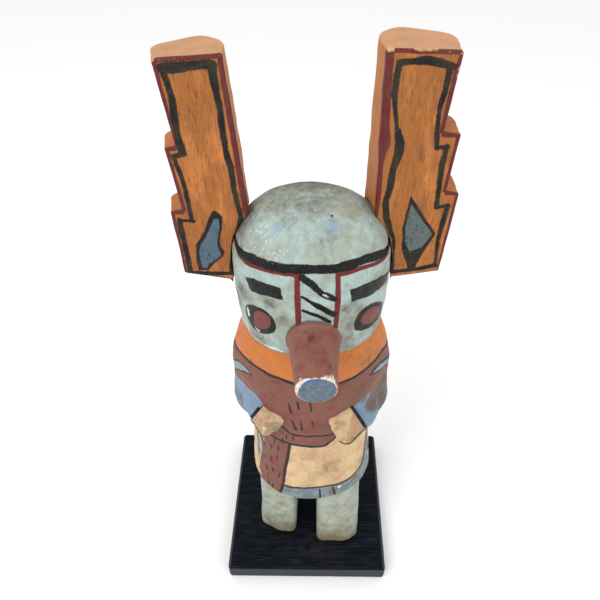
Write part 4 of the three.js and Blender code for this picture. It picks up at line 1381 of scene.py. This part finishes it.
def head_material():
    """Pale blue-green paint gone brown with handling, and the face's black, maroon and chalky marks. Some
    chalky marks are painted highlights, and painted shade lies above the chin and round the snout's root.
    """
    material, tree, shader = new_material("face paint", 0.55, 0.16)
    place = millimetres(tree)
    tone = patchy(tree, place, 0.11, 0.42, 0.66, FACE_BLUE, FACE_GREEN)
    tone = tinted(tree, tone, cover_of(tree, "blue", 2.0, 1.4, 0.9, 0.5), 0.6, PATCH_BLUE)
    aged = use(tree, AGE, Colour=tone, Grime=GRIME_AND_SHADE, Amount=0.4, Specks=0.8, Size=1.5)
    colour = dirtied_and_shaded(tree, aged["Colour"], place, mark(tree, "dirt_and_shade"), 0.85)
    # Painted shade: the face darkens toward the chin, where it meets the collar.
    chin = between(tree, mark(tree, "crease"), 0.2, 5.0, 0.5, 0.0)
    colour = blend_colour(tree, chin, colour, GRIME_AND_SHADE)
    dusty = patchy(tree, place, 1.4, 0.45, 0.7, BLACK, DUSTY_BLACK)
    colour, black = coats(
        tree, colour,
        ("maroon", FACE_MAROON, 0.5, 0.35, CRISP, 0.4),
        ("black", dusty, 0.8, 0.8, CRISP, 0.3),
    )
    colour, _ = coats(
        tree, colour,
        ("cheek", CHEEK_RED, 0.4, 0.3, CRISP, 0.1),
        # Chalky scuffs, and painted highlights on the left cheek and under the left eye.
        ("scuff_and_highlight", CHALK_AND_HIGHLIGHT, 0.8, 0.8, 0.2, 0.4),
    )
    flecks = between(tree, noise(tree, place, 1.0, 6.0, 0.8), 0.55, 0.6)
    inside = between(tree, mark(tree, "flecked"), -3.0, 1.5, 1.0, 0.0)
    colour = tinted(tree, colour, flecks, inside, CHALK_AND_HIGHLIGHT)
    # Painted shade: a dark ring on the face round the snout's root.
    root_shade = between(tree, mark(tree, "spread"), -0.2, 0.5, 0.75, 0.0)
    colour = blend_colour(tree, root_shade, colour, DARK_GRIME_AND_SHADE)
    rough = between(tree, aged["Height"], 0.3, 0.7, 0.42, 0.68)
    shine = calculate(tree, "SUBTRACT", rough, part_of(tree, black, 0.16))
    relief = calculate(tree, "ADD", aged["Height"], part_of(tree, black, 0.4))
    connect(tree, shader, colour, shine, relief, 0.16, 0.8)
    return material


def body_material():
    """Orange collar, brown poncho, blue sleeves, grey hem and tan kilt, with dark outlines over them."""
    material, tree, shader = new_material("clothing paint", 0.6, 0.25)
    place = millimetres(tree)
    kilt = patchy(tree, place, 0.14, 0.42, 0.66, KILT_TAN, KILT_PINK)
    hem = patchy(tree, place, 0.22, 0.46, 0.62, HEM_GREY, WEDGE_GREY)
    hem, _ = coats(tree, hem, ("stain", HEM_STAIN, 1.6, 1.2, 0.9, 0.5))
    poncho = patchy(tree, place, 0.13, 0.47, 0.66, BRICK, BRICK_RED)
    poncho = patchy(tree, place, 0.2, 0.5, 0.72, poncho, BRICK_BROWN)
    sleeve = patchy(tree, place, 0.2, 0.6, 0.78, SLEEVE_BLUE, SLEEVE_STAIN)
    stained = calculate(tree, "ADD", mark(tree, "brown"), noise(tree, place, 0.35, 5.0, 0.7))
    sleeve = blend_colour(tree, between(tree, stained, 0.75, 1.25, 0.0, 0.9), sleeve, SLEEVE_STAIN)
    collar = patchy(tree, place, 0.2, 0.56, 0.84, COLLAR_ORANGE, ORANGE_DARK)
    colour, _ = coats(
        tree, kilt,
        ("grey", hem, 0.5, 0.3, CRISP, 0.15),
        ("poncho", poncho, 0.5, 0.3, CRISP, 0.05),
        ("sleeve", sleeve, 0.6, 0.5, 0.4, 0.1),
        ("wedge", WEDGE_GREY, 0.3, 0.2, CRISP, 0.2),
        ("collar", collar, 0.3, 0.2, CRISP, 0.05),
        ("skin", HAND_TAN, 0.3, 0.3, CRISP, 0.1),
        ("spot", CHALK_AND_HIGHLIGHT, 1.0, 0.8, CRISP, 0.2),
    )
    aged = use(tree, AGE, Colour=colour, Grime=GRIME_AND_SHADE, Amount=0.3, Specks=0.5, Size=1.2)
    # Grime and painted shade in soft spots, the painted shade round the arms and down the right side.
    colour = dirtied_and_shaded(tree, aged["Colour"], place, mark(tree, "dirt_and_shade"), 0.8)
    colour, _ = coats(
        tree, colour,
        ("line", LINE_GREY, 0.4, 0.4, CRISP, 0.2),
        ("cuff", BLACK, 0.3, 0.3, CRISP, 0.15),
    )
    rough = between(tree, aged["Height"], 0.3, 0.7, 0.45, 0.7)
    connect(tree, shader, colour, rough, aged["Height"], 0.1)
    return material


def hand_material():
    """Tan paint on whittled wood, worn along the ridges and blue past the cuff, with painted shade on one
    facet and beneath.
    """
    material, tree, shader = new_material("hand paint", 0.6, 0.25)
    place = millimetres(tree)
    tan = patchy(tree, place, 0.35, 0.45, 0.65, HAND_TAN, HAND_PINK)
    # Painted shade: one facet is darkened toward the grime's colour.
    tan = tinted(tree, tan, mark(tree, "shaded_facet"), 0.4, GRIME_AND_SHADE)
    tan = tinted(tree, tan, mark(tree, "pink"), 0.6, HAND_PINK)
    tan = blend_colour(tree, between(tree, mark(tree, "ridge"), 0.1, 0.7, 0.4, 0.0), tan, BARE_WOOD)
    aged = use(tree, AGE, Colour=tan, Grime=GRIME_AND_SHADE, Amount=0.4, Specks=0.6, Size=2.0)
    hollow = between(tree, mark(tree, "hollow"), 0.8, 1.3, 0.0, 0.4)
    colour = blend_colour(tree, hollow, aged["Colour"], GRIME_AND_SHADE)
    # Painted shade: the lower sides that face down are darkened.
    colour = tinted(tree, colour, mark(tree, "under"), 0.6, DARK_GRIME_AND_SHADE)
    crack = between(tree, mark(tree, "crack"), 0.45, 0.95, 0.9, 0.0)
    colour = blend_colour(tree, crack, colour, LINE_GREY)
    colour, _ = coats(tree, colour, ("chip", BARE_WOOD, 0.8, 1.4, CRISP, 0.1))
    cuff = between(tree, mark(tree, "cuff"), 0.3, 0.5, 1.0, 0.0)
    colour = blend_colour(tree, cuff, colour, BLACK)
    sleeve = between(tree, mark(tree, "cuff"), -1.1, -0.9, 1.0, 0.0)
    colour = blend_colour(tree, sleeve, colour, SLEEVE_BLUE)
    connect(tree, shader, colour, None, aged["Height"], 0.14)
    return material


def leg_material():
    """Mint paint stained with ochre in front, and rubbed white at the soles and sides."""
    material, tree, shader = new_material("leg paint", 0.6, 0.25)
    place = millimetres(tree)
    pale = patchy(tree, place, 0.2, 0.46, 0.66, LEG_WHITE, LEG_MINT)
    stain = calculate(tree, "ADD", mark(tree, "dirt_and_shade"), noise(tree, place, 0.24, 5.0, 0.7))
    pale = blend_colour(tree, between(tree, stain, 0.9, 1.7, 0.0, 0.9), pale, OCHRE)
    aged = use(tree, AGE, Colour=pale, Grime=OCHRE, Amount=0.5, Specks=0.5, Size=1.8)
    colour = blend_colour(tree, worn_along(tree, "sole", 1.3, 0.46, 1.0), aged["Colour"], LEG_WHITE)
    connect(tree, shader, colour, None, aged["Height"], 0.12)
    return material


def horn_material():
    """Orange paint over upright grain, with maroon and black outlines and a blue lozenge, chipped to pale
    wood along the top's front edge. The sides and back are painted paler, as painted light."""
    material, tree, shader = new_material("horn paint", 0.62, 0.22)
    place = millimetres(tree)
    ground = use(tree, THIN_PAINT, Colour=ORANGE, Dark=ORANGE_DARK, Pale=ORANGE_PALE, Streaks=1.0)
    top = between(tree, mark(tree, "top"), 0.3, 0.9, 0.8, 0.0)
    # Painted light: the sides and back, behind the front, are painted a paler orange.
    side_light_share = between(tree, ground["Height"], 0.3, 0.6, 0.75, 0.35)
    colour = tinted(tree, ground["Colour"], mark(tree, "side"), side_light_share, HORN_SIDE_LIGHT)
    colour = blend_colour(tree, top, colour, HORN_TOP)
    chalky = patchy(tree, place, 1.6, 0.5, 0.72, BLACK, DUSTY_BLACK)
    colour, black = coats(
        tree, colour,
        ("maroon", MAROON, 0.5, 0.35, CRISP, 0.25),
        ("black", chalky, 0.7, 0.9, CRISP, 0.15),
    )
    blue = blend_colour(tree, mark(tree, "grey"), LOZENGE_BLUE, LOZENGE_GREY)
    blue = patchy(tree, place, 0.9, 0.5, 0.75, blue, DUSTY_BLACK)
    colour, _ = coats(tree, colour, ("blue", blue, 0.5, 0.4, CRISP, 0.2))
    colour = tinted(tree, colour, cover_of(tree, "smear", 1.2, 1.2, 0.9, 0.6), 0.35, LINE_GREY)
    chips = worn_along(tree, "top_edge", 1.0, 0.44, 1.0)
    colour = blend_colour(tree, chips, colour, CHIP_WOOD)
    colour, _ = coats(tree, colour, ("chip", CHIP_WOOD, 1.2, 1.8, CRISP, 0.2))
    colour = tinted(tree, colour, worn_along(tree, "edge", 0.5, 0.42, 1.6), 0.6, ORANGE_PALE)
    aged = use(tree, AGE, Colour=colour, Grime=GRIME_AND_SHADE, Amount=0.25, Specks=0.45, Size=1.3)
    height = calculate(tree, "ADD", ground["Height"], part_of(tree, black, 0.35))
    height = calculate(tree, "SUBTRACT", height, part_of(tree, chips, 0.8))
    connect(tree, shader, aged["Colour"], None, height, 0.12)
    return material


def snout_material():
    """Brown and brick-red paint, with a grey-blue end whose rim is chipped to chalk and bare wood."""
    material, tree, shader = new_material("snout paint", 0.55, 0.25)
    place = millimetres(tree)
    red = patchy(tree, place, 0.2, 0.4, 0.75, SNOUT_BROWN, SNOUT_RED)
    aged = use(tree, AGE, Colour=red, Grime=DARK_GRIME_AND_SHADE, Amount=0.4, Specks=0.6, Size=1.6)
    colour, _ = coats(tree, aged["Colour"], ("blot", BLOT_RED, 1.4, 1.4, 0.6, 0.5))
    tip = mark(tree, "tip")
    scratched = noise(tree, millimetres(tree, (2.5, 1, 0.4)), 1.6, 5.0, 0.75)
    end = blend_colour(tree, between(tree, scratched, 0.5, 0.72, 0.0, 0.55), TIP_GREY, PATCH_BLUE)
    end = patchy(tree, place, 0.7, 0.5, 0.62, end, HEM_GREY)
    end, _ = coats(tree, end, ("blue", TIP_BLUE, 0.8, 1.2, 0.3, 0.3))
    colour = blend_colour(tree, between(tree, tip, -0.05, 0.0, 1.0, 0.0), colour, end)
    rim = calculate(tree, "ABSOLUTE", tip)
    worn = use(tree, WORN_EDGE, Distance=rim, Width=0.4, Amount=0.6, Size=1.4)["Worn"]
    colour = blend_colour(tree, worn, colour, BARE_WOOD)
    pale = patchy(tree, place, 0.8, 0.45, 0.6, BARE_WOOD, CHALK_AND_HIGHLIGHT)
    colour, _ = coats(tree, colour, ("chip", pale, 0.4, 0.3, 0.1, 0.0))
    connect(tree, shader, colour, None, aged["Height"], 0.1)
    return material


def block_material():
    """Black paint with fine streaks across the block, dust before the feet and edges rubbed grey, with
    painted
    light: the sides painted lighter grey and a painted highlight along the top's left and right bevels.
    """
    material, tree, shader = new_material("black block paint", 0.5, 0.08)
    place = millimetres(tree)
    streaks = noise(tree, millimetres(tree, (7, 0.45, 0.45)), 0.8, 4.0, 0.7)
    colour = blend_colour(tree, between(tree, streaks, 0.46, 0.72, 0.0, 0.65), BLOCK_BLACK, BLOCK_STREAK)
    # Painted light: the block's sides, below its top, are painted a lighter grey than the top.
    front = blend_colour(tree, between(tree, mark(tree, "below"), 0.1, 0.9), colour, BLOCK_SIDE_LIGHT)
    clouds = between(tree, noise(tree, place, 0.25, 4.0, 0.6), 0.35, 0.6)
    colour = tinted(tree, front, mark(tree, "dust"), clouds, DUST)
    specks = between(tree, noise(tree, place, 1.5, 2.0, 0.5), 0.71, 0.76, 0.0, 0.3)
    colour = blend_colour(tree, specks, colour, HEM_GREY)
    # Painted highlight: a light grey line along the top's left and right bevels.
    bevel = between(tree, mark(tree, "bevel"), -0.4, 0.5, 0.0, 0.7)
    colour = blend_colour(tree, bevel, colour, BLOCK_WEAR_AND_HIGHLIGHT)
    colour = tinted(tree, colour, worn_along(tree, "edge", 0.8, 0.46, 0.6), 0.5, BLOCK_WEAR_AND_HIGHLIGHT)
    connect(tree, shader, colour, between(tree, streaks, 0.3, 0.7, 0.42, 0.6), streaks, 0.05)
    return material


# Stage

CAMERA_PLACE = (4.61, -147.56, 282.21)  # mm, and its angles are in degrees
CAMERA_DOWN = 41.874
CAMERA_YAW = -0.801
CAMERA_ROLL = -0.193
CAMERA_LENS = 32.78
CAMERA_SHIFT = -0.02
SENSOR_WIDTH = 36
# Lights: name, place in metres, size and power
LIGHTS = (("key", (-0.45, -0.55, 0.95), 0.6, 4.5), ("fill", (0.6, -0.5, 0.6), 0.7, 1.5))
LIT_PLACE = (0, 0, 0.11)
FLOOR_REACH = 2.5
FLOOR_DROP = 0.0002
SKY_WHITE = (1.0, 1.0, 1.0, 1.0)
SKY_STRENGTH = 0.9


def place_camera():
    """The camera at the photograph's place: it looks down on the doll from close in front."""
    down, yaw, roll = (math.radians(angle) for angle in (CAMERA_DOWN, CAMERA_YAW, CAMERA_ROLL))
    ahead = Vector((math.sin(yaw) * math.cos(down), math.cos(yaw) * math.cos(down), -math.sin(down)))
    level = Vector((math.cos(yaw), -math.sin(yaw), 0))
    above = level.cross(ahead)
    right = level * math.cos(roll) + above * math.sin(roll)
    up = above * math.cos(roll) - level * math.sin(roll)
    data = bpy.data.cameras.new("camera")
    data.lens = CAMERA_LENS
    data.sensor_width = SENSOR_WIDTH
    data.shift_x = CAMERA_SHIFT
    data.clip_start = 10 * MM
    camera = bpy.data.objects.new("camera", data)
    camera.matrix_world = Matrix.LocRotScale(
        Vector(CAMERA_PLACE) * MM,
        Matrix((right, up, -ahead)).transposed(),
        None,
    )
    bpy.context.scene.collection.objects.link(camera)
    bpy.context.scene.camera = camera


def place_light(name, place, size, power):
    """A soft square light that faces the doll's middle."""
    data = bpy.data.lights.new(name, "AREA")
    data.size = size
    data.energy = power
    lamp = bpy.data.objects.new(name, data)
    lamp.location = place
    lamp.rotation_euler = (Vector(LIT_PLACE) - Vector(place)).to_track_quat("-Z", "Y").to_euler()
    bpy.context.scene.collection.objects.link(lamp)


def make_stage():
    """A plain pale floor, a pale surround, and soft lights from above the doll's front."""
    mesh = bpy.data.meshes.new("floor")
    corners = [(x * FLOOR_REACH, y * FLOOR_REACH, 0) for x, y in ((-1, -1), (1, -1), (1, 1), (-1, 1))]
    mesh.from_pydata(corners, [], [(0, 1, 2, 3)])
    floor = bpy.data.objects.new("floor", mesh)
    floor.location.z = -FLOOR_DROP
    material, _, shader = new_material("floor", 0.9, 0.1)
    shader.inputs["Base Color"].default_value = FLOOR_WHITE
    mesh.materials.append(material)
    bpy.context.scene.collection.objects.link(floor)
    world = bpy.data.worlds.new("surround")
    bpy.context.scene.world = world
    world.use_nodes = True
    sky = world.node_tree.nodes["Background"]
    sky.inputs[0].default_value = SKY_WHITE
    sky.inputs[1].default_value = SKY_STRENGTH
    for light in LIGHTS:
        place_light(*light)
    bpy.context.scene.view_settings.view_transform = "Standard"


place_camera()
make_stage()
make_head(head_material())
make_body(body_material())
hand_paint = hand_material()
make_hand("left_hand", LEFT_HAND, hand_paint)
make_hand("right_hand", RIGHT_HAND, hand_paint)
leg_paint = leg_material()
make_leg("left_leg", LEFT_LEG, leg_paint)
make_leg("right_leg", RIGHT_LEG, leg_paint)
make_snout(snout_material())
horn_paint = horn_material()
make_horn("left_horn_board", LEFT_HORN, LEFT_PAINT, horn_paint, "left_horn")
make_horn("right_horn_board", RIGHT_HORN, RIGHT_PAINT, horn_paint, "right_horn")
make_block(block_material())
